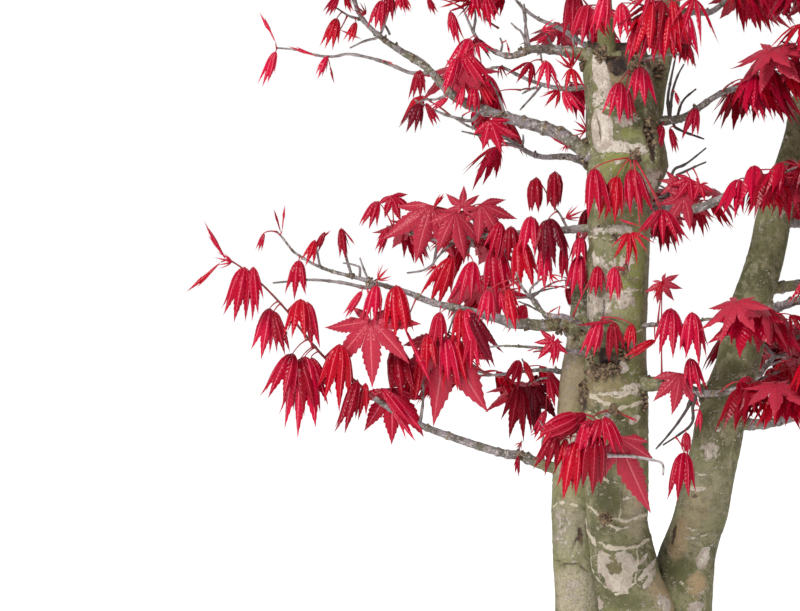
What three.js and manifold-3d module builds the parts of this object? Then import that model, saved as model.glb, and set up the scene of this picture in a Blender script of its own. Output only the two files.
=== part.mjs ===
// A japanese maple grown as a bonsai: a clump of three trunks from one root, in red spring leaf.
// Millimetres, +Z up. The origin is on the level ground, on the flat cut under the main trunk.
// Seen from the front (along +Y) the longest boughs reach out to the left (-X).
import * as THREE from "three";
import { mergeVertices } from "three/addons/utils/BufferGeometryUtils.js";
import Module from "manifold-3d";

const wasm = await Module();
wasm.setup();

// Driving dimensions

// Each trunk is a row of stations from its flat cut up: height, place in X and Y, and radius.
const TRUNKS = {
  trunk_main: {
    stations: [
      [0, 15, 0, 45], [30, 15, 0, 37.5], [62, 13.5, 0, 33.8], [99, 2, 0, 30.2], [140, -5, 0, 28.2],
      [230, -4.5, 0, 28], [300, -5.5, 0, 27], [380, -2.5, 0, 27.5], [425, -2, 0, 29],
      [458, 5, 1, 36.5], [495, 1, 1, 34], [545, -4, 1, 31], [572, -5, 1, 27],
    ],
    flareLobes: 5,
    sides: 22,
  },
  trunk_back: {
    stations: [
      [0, -32, 36, 33], [50, -33, 34, 25.5], [147, -39, 35, 22.5], [238, -34, 40, 21.5],
      [340, -23, 49, 19], [430, 6, 57, 16], [515, 32, 65, 12.5], [600, 50, 73, 9.5], [680, 62, 80, 6.5],
    ],
    flareLobes: 4,
    sides: 16,
  },
  trunk_right: {
    stations: [
      [0, 54, 18, 37], [50, 54, 18, 29], [99, 59, 17, 26.5], [157, 76, 17, 24], [217, 89, 18, 22.5],
      [300, 111, 20, 20], [400, 138, 26, 16.5], [500, 166, 34, 12.5], [590, 188, 40, 8],
    ],
    flareLobes: 4,
    sides: 16,
  },
  leader: {
    stations: [
      [540, -13, 3, 12], [572, -14, 3, 8], [610, -15, 2, 5.8], [670, -11, 0, 5.2], [730, -19, -4, 4.4],
      [780, -14, 0, 3.6],
    ],
    flareLobes: 0,
    sides: 12,
  },
};

// The trunk's root flare stands out in soft lobes that die away at this height.
const FLARE_HEIGHT = 60;
const FLARE_DEPTH = 0.13;
// The main trunk was sawn off at its top, on a slope that faces forward.
const CHOP_HEIGHT = 566;
const CHOP_SLOPE = 0.55;

// Each limb grows from a trunk: the height of its foot, the place it bows towards, the place of its
// furthest tip, its radius at the foot, and the share of it that is bare bough. The rest is the stem
// of its foliage, which has pairs of side shoots of about the given spread.
const LIMBS = {
  upper_left: {
    trunk: "trunk_main", foot: 466, bow: [-150, -12, 500], tip: [-285, -25, 652],
    radius: 7.4, bare: 0.62, pairs: 3, spread: 66, seed: 11,
  },
  top_left: {
    trunk: "trunk_main", foot: 554, bow: [-84, -4, 558], tip: [-144, -8, 602],
    radius: 6.4, bare: 0.36, pairs: 2, spread: 58, seed: 12,
  },
  upper_back_left: {
    trunk: "trunk_main", foot: 526, bow: [-75, 45, 524], tip: [-160, 95, 556],
    radius: 2.8, bare: 0, pairs: 2, spread: 50, seed: 13,
  },
  middle_left: {
    trunk: "trunk_main", foot: 288, bow: [-150, -6, 318], tip: [-312, -10, 402],
    radius: 5.6, bare: 0.62, pairs: 3, spread: 52, seed: 14,
  },
  middle_left_spur: {
    trunk: "trunk_main", foot: 306, bow: [-74, -34, 306], tip: [-98, -30, 364],
    radius: 3.6, bare: 0, pairs: 1, spread: 40, seed: 15,
  },
  lower_left: {
    trunk: "trunk_back", foot: 181, bow: [-200, -2, 203], tip: [-357, -45, 378],
    radius: 4.8, bare: 0.5, pairs: 4, spread: 40, seed: 16,
  },
  middle_back_left: {
    trunk: "trunk_main", foot: 402, bow: [-95, 50, 396], tip: [-205, 100, 400],
    radius: 3.8, bare: 0.55, pairs: 2, spread: 58, seed: 17,
  },
  lower_back_left: {
    trunk: "trunk_back", foot: 268, bow: [-80, 62, 268], tip: [-140, 80, 270],
    radius: 2.8, bare: 0, pairs: 2, spread: 44, seed: 18,
  },
  lower_front_left: {
    trunk: "trunk_main", foot: 286, bow: [-60, -34, 287], tip: [-118, -48, 292],
    radius: 2.6, bare: 0, pairs: 2, spread: 40, seed: 19,
  },
  lower_front: {
    trunk: "trunk_main", foot: 236, bow: [-12, -60, 246], tip: [-22, -112, 240],
    radius: 3.4, bare: 0, pairs: 2, spread: 52, seed: 20,
  },
  middle_front: {
    trunk: "trunk_main", foot: 362, bow: [2, -60, 366], tip: [-8, -112, 364],
    radius: 2.8, bare: 0, pairs: 2, spread: 42, seed: 21,
  },
  upper_front: {
    trunk: "trunk_main", foot: 458, bow: [4, -70, 468], tip: [4, -124, 462],
    radius: 3.4, bare: 0, pairs: 2, spread: 50, seed: 22,
  },
  top_front: {
    trunk: "trunk_main", foot: 530, bow: [12, -66, 545], tip: [18, -110, 584],
    radius: 3.2, bare: 0, pairs: 2, spread: 44, seed: 23,
  },
  lower_right: {
    trunk: "trunk_main", foot: 268, bow: [80, -48, 250], tip: [166, -84, 262],
    radius: 5.6, bare: 0.5, pairs: 2, spread: 56, seed: 24,
  },
  right_twig: {
    trunk: "trunk_main", foot: 312, bow: [60, -54, 314], tip: [114, -76, 324],
    radius: 2.4, bare: 0, pairs: 2, spread: 36, seed: 25,
  },
  middle_right: {
    trunk: "trunk_main", foot: 410, bow: [86, -30, 420], tip: [212, -74, 474],
    radius: 5.6, bare: 0.5, pairs: 2, spread: 60, seed: 26,
  },
  upper_right: {
    trunk: "trunk_main", foot: 492, bow: [78, -12, 498], tip: [178, -48, 580],
    radius: 4.6, bare: 0.5, pairs: 2, spread: 56, seed: 27,
  },
  lower_back: {
    trunk: "trunk_back", foot: 300, bow: [-45, 150, 304], tip: [-75, 258, 348],
    radius: 4.8, bare: 0.5, pairs: 2, spread: 68, seed: 28,
  },
  middle_back: {
    trunk: "trunk_back", foot: 395, bow: [30, 165, 396], tip: [70, 290, 452],
    radius: 4.8, bare: 0.5, pairs: 2, spread: 68, seed: 29,
  },
  upper_back: {
    trunk: "trunk_back", foot: 462, bow: [-50, 150, 462], tip: [-150, 235, 522],
    radius: 4.6, bare: 0.5, pairs: 2, spread: 64, seed: 30,
  },
  right_low: {
    trunk: "trunk_right", foot: 225, bow: [215, 22, 226], tip: [345, 10, 278],
    radius: 5.2, bare: 0.5, pairs: 2, spread: 64, seed: 31,
  },
  right_front_low: {
    trunk: "trunk_right", foot: 330, bow: [182, -86, 332], tip: [252, -188, 384],
    radius: 4.6, bare: 0.5, pairs: 2, spread: 60, seed: 32,
  },
  right_back_low: {
    trunk: "trunk_right", foot: 262, bow: [145, 130, 262], tip: [200, 245, 306],
    radius: 4.6, bare: 0.5, pairs: 2, spread: 64, seed: 33,
  },
  right_middle: {
    trunk: "trunk_right", foot: 348, bow: [250, 36, 350], tip: [405, 48, 410],
    radius: 5.2, bare: 0.52, pairs: 2, spread: 68, seed: 34,
  },
  right_back: {
    trunk: "trunk_right", foot: 405, bow: [200, 130, 405], tip: [262, 240, 478],
    radius: 4.6, bare: 0.5, pairs: 2, spread: 64, seed: 35,
  },
  right_upper: {
    trunk: "trunk_right", foot: 452, bow: [260, 6, 455], tip: [380, -30, 536],
    radius: 4.6, bare: 0.5, pairs: 2, spread: 64, seed: 36,
  },
  right_front: {
    trunk: "trunk_right", foot: 498, bow: [205, -85, 500], tip: [250, -170, 584],
    radius: 4.2, bare: 0.45, pairs: 2, spread: 58, seed: 37,
  },
  right_top: {
    trunk: "trunk_right", foot: 590, bow: [202, 46, 640], tip: [216, 40, 705],
    radius: 6, bare: 0, pairs: 3, spread: 66, seed: 38, upright: true,
  },
  leader_left: {
    trunk: "leader", foot: 642, bow: [-85, -46, 650], tip: [-172, -92, 724],
    radius: 4.2, bare: 0.4, pairs: 2, spread: 58, seed: 39,
  },
  leader_right: {
    trunk: "leader", foot: 672, bow: [60, -40, 676], tip: [132, -72, 742],
    radius: 4, bare: 0.4, pairs: 2, spread: 58, seed: 40,
  },
  leader_top: {
    trunk: "leader", foot: 780, bow: [-12, 2, 815], tip: [-22, 0, 860],
    radius: 3.2, bare: 0, pairs: 3, spread: 60, seed: 41, upright: true,
  },
  back_left_top: {
    trunk: "trunk_back", foot: 560, bow: [-30, 140, 566], tip: [-112, 190, 655],
    radius: 4.2, bare: 0.4, pairs: 2, spread: 60, seed: 42,
  },
  back_right_top: {
    trunk: "trunk_back", foot: 604, bow: [115, 135, 606], tip: [186, 185, 684],
    radius: 4.2, bare: 0.4, pairs: 2, spread: 58, seed: 43,
  },
  back_top: {
    trunk: "trunk_back", foot: 680, bow: [68, 88, 720], tip: [78, 96, 792],
    radius: 5, bare: 0, pairs: 3, spread: 64, seed: 44, upright: true,
  },
};

// A limb tapers to this share of its foot's radius, swells to a collar at its foot, and waves a little.
const TIP_SHARE = 0.26;
const LEAST_STEM_RADIUS = 1.7;
const COLLAR_SHARE = 0.5;
const COLLAR_REACH = 0.07;
const WAVE_HEIGHT = 3.2;
const WAVES = 2.6;
const LIMB_SIDES = 7;
const STEM_SIDES = 5;
const TWIG_SIDES = 3;
const BOUGH_STEP = 34;

// A limb with no bare bough has its first shoots past this share of it. The first pair on any stem
// stands at this share of the way to the second.
const OUT_OF_TRUNK = 0.28;
const FIRST_PAIR = 0.55;
// Side shoots leave the stem at these angles, rise a little and bend down towards their tips.
const SHOOT_TURN = [0.7, 1.15];
const SHOOT_RISE = [0.05, 0.4];
const SHOOT_RADIUS = [2, 1.5];
const SHOOT_SUNK = 0.4;
const SHOOT_BEND = 0.12;

// A leaf is a hand of lobes: five on the ones that are spread open, and three that show on the young
// ones, which hang half shut.
const LEAF_LENGTH = 50;
const LEAF_THICKNESS = 0.075;
const OPEN_LOBES = { turns: [-1.85, -0.86, 0, 0.86, 1.85], lengths: [0.6, 0.9, 1, 0.9, 0.6] };
const HANGING_LOBES = { turns: [-1.5, 0, 1.5], lengths: [0.86, 1, 0.86] };
const NOTCH_LENGTH = 0.36;
const BLADE_SET_BACK = 0.17;
const ROOT_SUNK = 0.2;
const LEAF_PAIR_SPACING = 33;
const LAST_PAIR = 0.95;
const PAIR_STEP = 1.6;
const OPEN_SHARE = 0.25;
const OPEN_DROOP = [0.25, 0.7];
const HANGING_DROOP = [1.05, 1.3];

// Pieces that touch on the real tree keep this gap, and one mass keeps this far from the next.
const GAP = 0.35;
const SPACE_MARGIN = 2;
const SPACE_DROP = 22;
const BLADE_TEST_SHIFT = 5;
const JOIN_SLACK = 0.2;
const CLEAR_OF_LIMBS = 0.8;
const SITES_PER_STEM = 12;


// Materials

const BARK = new THREE.MeshStandardMaterial({ color: 0x87896a, roughness: 0.85, metalness: 0 });
const BOUGH_BARK = new THREE.MeshStandardMaterial({ color: 0x8d8578, roughness: 0.8, metalness: 0 });
const LEAF = new THREE.MeshStandardMaterial({ color: 0xc01830, roughness: 0.55, metalness: 0 });

// Numbers and curves

// A seeded row of even numbers from 0 to 1.
function seeded(seed) {
  let state = seed * 7919;
  const next = () => {
    state = (Math.imul(state, 1664525) + 1013904223) >>> 0;
    return state / 4294967296;
  };
  for (let i = 0; i < 4; i++) next();
  return next;
}

const between = ([low, high], share) => low + (high - low) * share;

// The station values at a height, eased between the stations above and below.
function stationAt(stations, height) {
  let i = 1;
  while (i < stations.length - 1 && stations[i][0] < height) i++;
  const low = stations[i - 1];
  const high = stations[i];
  const share = THREE.MathUtils.clamp((height - low[0]) / (high[0] - low[0]), 0, 1);
  const eased = share * share * (3 - 2 * share) * 0.5 + share * 0.5;
  return low.map((value, k) => value + (high[k] - value) * eased);
}

// A limb's centre line: a curve from its trunk's centre that bows and waves to its tip.
class LimbCurve extends THREE.Curve {
  constructor(limb) {
    super();
    const [, x, y] = stationAt(TRUNKS[limb.trunk].stations, limb.foot);
    this.foot = new THREE.Vector3(x, y, limb.foot);
    this.bow = new THREE.Vector3(...limb.bow);
    this.tip = new THREE.Vector3(...limb.tip);
    const random = seeded(limb.seed);
    this.phases = [random() * Math.PI * 2, random() * Math.PI * 2];
    this.wave = limb.upright ? 0 : WAVE_HEIGHT;
  }
  getPoint(t, target = new THREE.Vector3()) {
    target.copy(this.foot).multiplyScalar((1 - t) * (1 - t));
    target.addScaledVector(this.bow, 2 * t * (1 - t));
    target.addScaledVector(this.tip, t * t);
    const grown = this.wave * Math.min(1, 3 * t) * Math.min(1, 6 * (1 - t));
    target.y += grown * Math.sin(WAVES * 2 * Math.PI * t + this.phases[0]);
    target.z += grown * Math.sin(WAVES * 2 * Math.PI * t + this.phases[1]);
    return target;
  }
}

// Solids

// A closed geometry as a solid: shared points are merged and faces that fold to nothing are dropped.
function solidOf(geometry) {
  const bare = new THREE.BufferGeometry();
  bare.setAttribute("position", geometry.getAttribute("position"));
  bare.setIndex(geometry.index);
  const merged = mergeVertices(bare, 1e-4);
  const faces = [];
  for (let i = 0; i < merged.index.count; i += 3) {
    const [a, b, c] = [0, 1, 2].map((k) => merged.index.getX(i + k));
    if (a !== b && b !== c && c !== a) faces.push(a, b, c);
  }
  const make = (triangles) =>
    new wasm.Manifold(
      new wasm.Mesh({
        numProp: 3,
        vertProperties: new Float32Array(merged.attributes.position.array),
        triVerts: new Uint32Array(triangles),
      }),
    );
  const made = make(faces);
  return made.volume() > 0 ? made : make(faces.reverse());
}

// The largest piece of a solid, with sealed hollows filled and loose scraps dropped.
function mainPiece(solid) {
  return solid.decompose().reduce((best, piece) => (piece.volume() > best.volume() ? piece : best));
}

function meshOf(solid, name, material) {
  const mesh = solid.getMesh();
  const geometry = new THREE.BufferGeometry();
  geometry.setAttribute("position", new THREE.BufferAttribute(new Float32Array(mesh.vertProperties), 3));
  geometry.setIndex(new THREE.BufferAttribute(new Uint32Array(mesh.triVerts), 1));
  geometry.computeVertexNormals();
  const made = new THREE.Mesh(geometry, material);
  made.name = name;
  return made;
}

// A closed round profile: radius against place along the curve, which starts and ends on the axis.
function turnedProfile(places, radiusAt) {
  const points = places.map((t) => new THREE.Vector2(radiusAt(t), t));
  return [new THREE.Vector2(0, places[0]), ...points, new THREE.Vector2(0, places[places.length - 1])];
}

const evenPlaces = (from, to, steps) =>
  Array.from({ length: steps + 1 }, (_, i) => from + ((to - from) * i) / steps);

// A tapered limb along a curve: a lathe of its taper, bent so that its axis follows the curve, with a
// ring at each of the places.
function limbSolid(curve, places, sides, radiusAt) {
  const geometry = new THREE.LatheGeometry(turnedProfile(places, radiusAt), sides);
  const frames = new Map();
  let normal = null;
  for (const t of places) {
    const tangent = curve.getTangent(t);
    normal = normal ?? new THREE.Vector3(0, 0, 1).cross(tangent);
    if (normal.lengthSq() < 1e-3) normal.set(1, 0, 0);
    normal.addScaledVector(tangent, -normal.dot(tangent)).normalize();
    frames.set(new Float32Array([t])[0], {
      centre: curve.getPoint(t),
      normal: normal.clone(),
      binormal: new THREE.Vector3().crossVectors(tangent, normal),
    });
  }
  const position = geometry.getAttribute("position");
  const point = new THREE.Vector3();
  for (let i = 0; i < position.count; i++) {
    const frame = frames.get(position.getY(i));
    point.copy(frame.centre).addScaledVector(frame.normal, position.getX(i));
    point.addScaledVector(frame.binormal, position.getZ(i));
    position.setXYZ(i, point.x, point.y, point.z);
  }
  return solidOf(geometry);
}

// A trunk: level rings from station to station, with a lobed root flare over its flat cut.
function trunkSolid({ stations, flareLobes, sides }, grown) {
  const heights = [];
  for (let i = 1; i < stations.length; i++) {
    const low = stations[i - 1][0];
    const high = stations[i][0];
    const steps = Math.max(1, Math.round((high - low) / 40));
    heights.push(...evenPlaces(low, high, steps).slice(i > 1 ? 1 : 0));
  }
  heights[heights.length - 1] += grown;
  const radiusAt = (height) => stationAt(stations, height)[3] + grown;
  const geometry = new THREE.LatheGeometry(turnedProfile(heights, radiusAt), sides);
  const position = geometry.getAttribute("position");
  for (let i = 0; i < position.count; i++) {
    const height = position.getY(i);
    const [, x, y] = stationAt(stations, height);
    const angle = Math.atan2(position.getZ(i), position.getX(i));
    const fade = Math.max(0, 1 - height / FLARE_HEIGHT);
    const lobe = flareLobes ? 1 + FLARE_DEPTH * fade * Math.cos(flareLobes * angle) : 1;
    position.setXYZ(i, x + position.getX(i) * lobe, y + position.getZ(i) * lobe, height);
  }
  return solidOf(geometry);
}

// The block over the sloping saw cut, which is higher at the back than at the front.
function chopBlock() {
  const side = 200;
  const geometry = new THREE.BoxGeometry(side, side, side);
  geometry.translate(0, 0, side / 2);
  geometry.rotateX(CHOP_SLOPE);
  geometry.translate(0, 0, CHOP_HEIGHT);
  return solidOf(geometry);
}

const limbRadius = (limb) => (t) => {
  const collar = 1 + COLLAR_SHARE * Math.exp(-t / COLLAR_REACH);
  return Math.max(LEAST_STEM_RADIUS, limb.radius * collar * (1 - (1 - TIP_SHARE) * t));
};

// A leaf: a ring from its root round five lobe tips and four notches, with a top and a bottom point.
function leafSolid({ root, along, length, droop, lobes }) {
  const up = new THREE.Vector3(0, 0, 1);
  const side = new THREE.Vector3().crossVectors(up, along);
  const wayAt = (turn, fall) =>
    new THREE.Vector3()
      .addScaledVector(along, Math.cos(turn) * Math.cos(fall))
      .addScaledVector(side, Math.sin(turn) * Math.cos(fall))
      .addScaledVector(up, -Math.sin(fall));
  const centre = root.clone().addScaledVector(wayAt(0, droop * 0.7), BLADE_SET_BACK * length);
  const ring = [root.clone().addScaledVector(wayAt(0, droop * 0.7), -ROOT_SUNK)];
  lobes.turns.forEach((turn, i) => {
    if (i > 0) {
      const middle = (turn + lobes.turns[i - 1]) / 2;
      const notch = wayAt(middle, Math.min(1.45, droop + 0.1));
      ring.push(centre.clone().addScaledVector(notch, NOTCH_LENGTH * length));
    }
    ring.push(centre.clone().addScaledVector(wayAt(turn, droop), lobes.lengths[i] * length));
  });
  const half = (LEAF_THICKNESS * length) / 2;
  const points = [centre.clone().addScaledVector(up, half), centre.clone().addScaledVector(up, -half), ...ring];
  const faces = [];
  ring.forEach((_, i) => {
    const here = 2 + i;
    const next = 2 + ((i + 1) % ring.length);
    faces.push(0, here, next, 1, next, here);
  });
  const geometry = new THREE.BufferGeometry().setFromPoints(points);
  geometry.setIndex(faces);
  return { solid: solidOf(geometry), points };
}

// Growth

// Where pairs of side shoots stand along a limb.
function shootPlaces({ shootStart, pairs }) {
  return Array.from({ length: pairs }, (_, i) => shootStart + ((1 - shootStart) * (i + FIRST_PAIR)) / pairs);
}

// The side shoots of a limb's foliage: opposite pairs along its stem, by the limb's own seed.
function shootsOf(limb, curve) {
  const random = seeded(limb.seed + 100);
  const shoots = [];
  for (const [pair, t] of shootPlaces(limb).entries()) {
    const share = (pair + FIRST_PAIR) / limb.pairs;
    const foot = curve.getPoint(t);
    const tangent = curve.getTangent(t);
    const across = new THREE.Vector3(0, 0, 1).cross(tangent);
    if (limb.upright) across.set(1, 0, 0);
    across.normalize();
    const lift = new THREE.Vector3().crossVectors(tangent, across);
    const spin = limb.upright ? pair * 1.3 : 0.5 * (random() - 0.5);
    for (const side of [-1, 1]) {
      const turn = between(SHOOT_TURN, random());
      const rise = between(SHOOT_RISE, random());
      const length = limb.spread * (1 - 0.3 * share) * (0.75 + 0.5 * random());
      const out = across.clone().multiplyScalar(side * Math.cos(spin)).addScaledVector(lift, side * Math.sin(spin));
      const way = tangent.clone().multiplyScalar(Math.cos(turn)).addScaledVector(out, Math.sin(turn));
      way.z += rise;
      way.normalize();
      const tip = foot.clone().addScaledVector(way, length);
      tip.z -= SHOOT_BEND * length;
      shoots.push(new THREE.LineCurve3(foot, tip));
    }
  }
  return shoots;
}

// A pair of leaves on a shoot, to the left and the right of its way, one just behind the other.
function leafPair(point, way, random) {
  const level = new THREE.Vector3(way.x, way.y, 0);
  if (level.lengthSq() < 0.02) level.set(1, 0, 0);
  level.normalize();
  return [-1, 1].map((side) => {
    const turn = side * (0.45 + 0.75 * random());
    const along = level.clone().applyAxisAngle(new THREE.Vector3(0, 0, 1), turn);
    const open = random() < OPEN_SHARE;
    const droop = between(open ? OPEN_DROOP : HANGING_DROOP, random());
    const length = LEAF_LENGTH * (0.88 + 0.3 * random());
    const root = point.clone().addScaledVector(way, -(1 + side) * PAIR_STEP);
    return { root, along, length, droop, lobes: open ? OPEN_LOBES : HANGING_LOBES };
  });
}

// A limb with its centre line and the share of it at which its stem starts: past its bare bough, or
// in its trunk, which then cuts it clear, and its shoots start a little further out.
function prepare(name, limb) {
  const curve = new LimbCurve(limb);
  const start = limb.bare ? limb.bare + GAP / curve.getLength() : 0;
  const shootStart = limb.bare || limb.upright ? start : OUT_OF_TRUNK;
  return { ...limb, name, curve, start, shootStart };
}

const limbs = Object.entries(LIMBS).map(([name, limb]) => prepare(name, limb));

// The tree

// The main trunk, cut off on its slope, and the rest cut to stand clear of the trunks before them.
function trunkSolids(grown) {
  const chop = chopBlock();
  const made = [];
  for (const [name, trunk] of Object.entries(TRUNKS)) {
    let solid = trunkSolid(trunk, grown);
    if (name === "trunk_main") solid = solid.subtract(chop.translate([0, 0, grown]));
    made.push([name, solid]);
  }
  return made;
}

const grownTrunks = trunkSolids(GAP);
const clearOfTrunks = (solid, others) =>
  mainPiece(others.reduce((left, [, other]) => left.subtract(other), solid));

const nodes = trunkSolids(0).map(([name, solid], i) => [
  name,
  clearOfTrunks(solid, grownTrunks.slice(0, i)),
  BARK,
]);

function boughSolid(limb, grown) {
  const steps = Math.round((limb.curve.getLength() * limb.bare) / BOUGH_STEP);
  const radiusAt = (t) => limbRadius(limb)(t) + grown;
  return limbSolid(limb.curve, evenPlaces(0, limb.bare, steps), LIMB_SIDES, radiusAt);
}

const boughLimbs = limbs.filter(({ bare }) => bare);
for (const limb of boughLimbs) {
  nodes.push(["bough_" + limb.name, clearOfTrunks(boughSolid(limb, 0), grownTrunks), BOUGH_BARK]);
}

// Every trunk and bough, a little grown, which twigs and leaves must not touch.
const obstacles = wasm.Manifold.union([
  ...trunkSolids(CLEAR_OF_LIMBS).map(([, solid]) => solid),
  ...boughLimbs.map((limb) => boughSolid(limb, CLEAR_OF_LIMBS)),
]);

// Points along each stem. A mass's own space is what lies nearest to the line under its own stem,
// because leaves hang.
const sites = limbs.flatMap((limb) =>
  evenPlaces(limb.shootStart, 1, SITES_PER_STEM)
    .map((t) => ({ name: limb.name, point: limb.curve.getPoint(t) })));

function inOwnSpace(limb, point) {
  let own = Infinity;
  let other = Infinity;
  const raised = point.clone().setZ(point.z + SPACE_DROP);
  for (const site of sites) {
    const distance = site.point.distanceTo(raised);
    if (site.name === limb.name) own = Math.min(own, distance);
    else other = Math.min(other, distance);
  }
  return other - own > SPACE_MARGIN;
}

const fits = (limb, solid, points) =>
  points.every((point) => point.z > 0 && inOwnSpace(limb, point)) && solid.intersect(obstacles).isEmpty();

// Whether a leaf's blade, moved off its root, hangs free of the twigs and leaves placed before it.
function hangsFree(leaf, solid, placed) {
  const off = leaf.points[0].clone().sub(leaf.points[2]).setLength(BLADE_TEST_SHIFT);
  const moved = solid.translate(off.toArray());
  return placed.every((other) => moved.intersect(other).isEmpty());
}

// One mass of foliage: a stem, its side shoots and their leaves, fused into one solid.
function foliageSolid(limb) {
  const random = seeded(limb.seed + 200);
  const { curve, start } = limb;
  const places = [...new Set([start, (start + limb.shootStart) / 2, ...shootPlaces(limb), 1])];
  let stem = limbSolid(curve, places, STEM_SIDES, limbRadius(limb));
  if (!limb.bare) stem = clearOfTrunks(stem, grownTrunks);
  const pieces = [stem];
  const addLeaves = (point, way) => {
    for (const leaf of leafPair(point, way, random)) {
      const made = leafSolid(leaf);
      if (!fits(limb, made.solid, made.points)) continue;
      if (hangsFree(made, made.solid, pieces)) pieces.push(made.solid);
    }
  };
  const shoots = shootsOf(limb, curve).filter((shoot) => {
    const sunk = SHOOT_SUNK / shoot.getLength();
    const twig = limbSolid(shoot, [sunk, 1], TWIG_SIDES, (t) => between(SHOOT_RADIUS, t));
    const fitting = fits(limb, twig, [0.5, 1].map((t) => shoot.getPoint(t)));
    if (fitting) pieces.push(twig);
    return fitting;
  });
  for (const shoot of shoots) {
    const count = Math.max(1, Math.round(shoot.getLength() / LEAF_PAIR_SPACING));
    for (let i = 1; i <= count; i++) {
      const t = (LAST_PAIR * i) / count;
      addLeaves(shoot.getPoint(t), shoot.getTangent(t));
    }
  }
  addLeaves(curve.getPoint(0.98), curve.getTangent(1));
  return mainPiece(wasm.Manifold.union(pieces)).asOriginal().simplify(JOIN_SLACK);
}

for (const limb of limbs) nodes.push(["foliage_" + limb.name, foliageSolid(limb), LEAF]);

const tree = new THREE.Group();
for (const [name, solid, material] of nodes) tree.add(meshOf(solid, name, material));

export default tree;
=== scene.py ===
"""Looks for a japanese maple in red spring leaf: bark, boughs, twigs and leaves grown over the frame."""

import math

import bpy
import numpy as np
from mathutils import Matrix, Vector


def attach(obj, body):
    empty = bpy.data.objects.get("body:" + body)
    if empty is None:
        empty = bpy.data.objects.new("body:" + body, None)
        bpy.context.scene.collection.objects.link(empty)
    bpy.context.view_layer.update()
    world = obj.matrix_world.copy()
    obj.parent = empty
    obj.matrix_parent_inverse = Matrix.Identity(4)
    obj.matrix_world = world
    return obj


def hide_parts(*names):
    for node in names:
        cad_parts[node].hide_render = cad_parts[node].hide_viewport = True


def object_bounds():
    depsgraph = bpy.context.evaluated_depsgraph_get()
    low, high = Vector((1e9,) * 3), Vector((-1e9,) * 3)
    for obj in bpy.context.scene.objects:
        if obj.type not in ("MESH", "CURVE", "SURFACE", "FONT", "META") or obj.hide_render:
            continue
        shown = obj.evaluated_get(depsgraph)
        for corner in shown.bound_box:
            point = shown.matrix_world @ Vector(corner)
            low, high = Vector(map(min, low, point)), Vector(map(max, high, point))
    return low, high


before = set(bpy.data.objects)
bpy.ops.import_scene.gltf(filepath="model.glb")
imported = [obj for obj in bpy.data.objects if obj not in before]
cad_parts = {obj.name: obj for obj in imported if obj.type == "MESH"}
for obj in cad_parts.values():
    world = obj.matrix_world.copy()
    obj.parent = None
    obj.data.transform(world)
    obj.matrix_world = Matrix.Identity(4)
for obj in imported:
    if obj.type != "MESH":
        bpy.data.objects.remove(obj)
cad_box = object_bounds()

# Driving dimensions, in millimetres, the same as in the solids

MM = 0.001
UP = np.array([0.0, 0.0, 1.0])
RIGHT = np.array([1.0, 0.0, 0.0])

# Each trunk: height, place in X and Y, and radius at its stations, its flare lobes, and the rings
# and sides of its bark.
TRUNKS = {
    "trunk_main": {
        "stations": [
            (0, 15, 0, 45), (30, 15, 0, 37.5), (62, 13.5, 0, 33.8), (99, 2, 0, 30.2), (140, -5, 0, 28.2),
            (230, -4.5, 0, 28), (300, -5.5, 0, 27), (380, -2.5, 0, 27.5), (425, -2, 0, 29),
            (458, 5, 1, 36.5), (495, 1, 1, 34), (545, -4, 1, 31), (572, -5, 1, 27),
        ],
        "flare": 5, "rings": 460, "sides": 150,
    },
    "trunk_back": {
        "stations": [
            (0, -32, 36, 33), (50, -33, 34, 25.5), (147, -39, 35, 22.5), (238, -34, 40, 21.5),
            (340, -23, 49, 19), (430, 6, 57, 16), (515, 32, 65, 12.5), (600, 50, 73, 9.5), (680, 62, 80, 6.5),
        ],
        "flare": 4, "rings": 380, "sides": 68,
    },
    "trunk_right": {
        "stations": [
            (0, 54, 18, 37), (50, 54, 18, 29), (99, 59, 17, 26.5), (157, 76, 17, 24), (217, 89, 18, 22.5),
            (300, 111, 20, 20), (400, 138, 26, 16.5), (500, 166, 34, 12.5), (590, 188, 40, 8),
        ],
        "flare": 4, "rings": 370, "sides": 78,
    },
    "leader": {
        "stations": [
            (540, -13, 3, 12), (572, -14, 3, 8), (610, -15, 2, 5.8), (670, -11, 0, 5.2), (730, -19, -4, 4.4),
            (780, -14, 0, 3.6),
        ],
        "flare": 0, "rings": 130, "sides": 32,
    },
}
FLARE_HEIGHT = 60
FLARE_DEPTH = 0.13
CHOPPED_TRUNK = "trunk_main"
CHOP_HEIGHT = 566
CHOP_SLOPE = 0.55
CHOP_START = 500

# The bark: the radius from which its relief is full, the height over which it fades out above the
# ground, the values kept on its points, and the ridges of old leaf scars.
FULL_RELIEF_RADIUS = 24
FLAT_FOOT = 6
# The moss, grey and tan masks also hold painted light on the main trunk's right side, and the deep mask
# painted shade low on its left.
BARK_MASKS = ("pale", "dark", "tan", "line", "moss_and_painted_light", "grey", "deep")
WRINKLES = {"first": 30.0, "last": 780, "gaps": (9, 31), "half_width": 1.1, "wander": 3.4}

# The tops of the trunks: how rugged, how deep, and how dark they are.
CAP_RINGS = 16
GROWN_TOP = {"rugged": 0.4, "hollow": -2, "dark": 0.3}
TRUNK_TOPS = {CHOPPED_TRUNK: {"rugged": 2.2, "hollow": 3.5, "dark": 1.0}}

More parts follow.
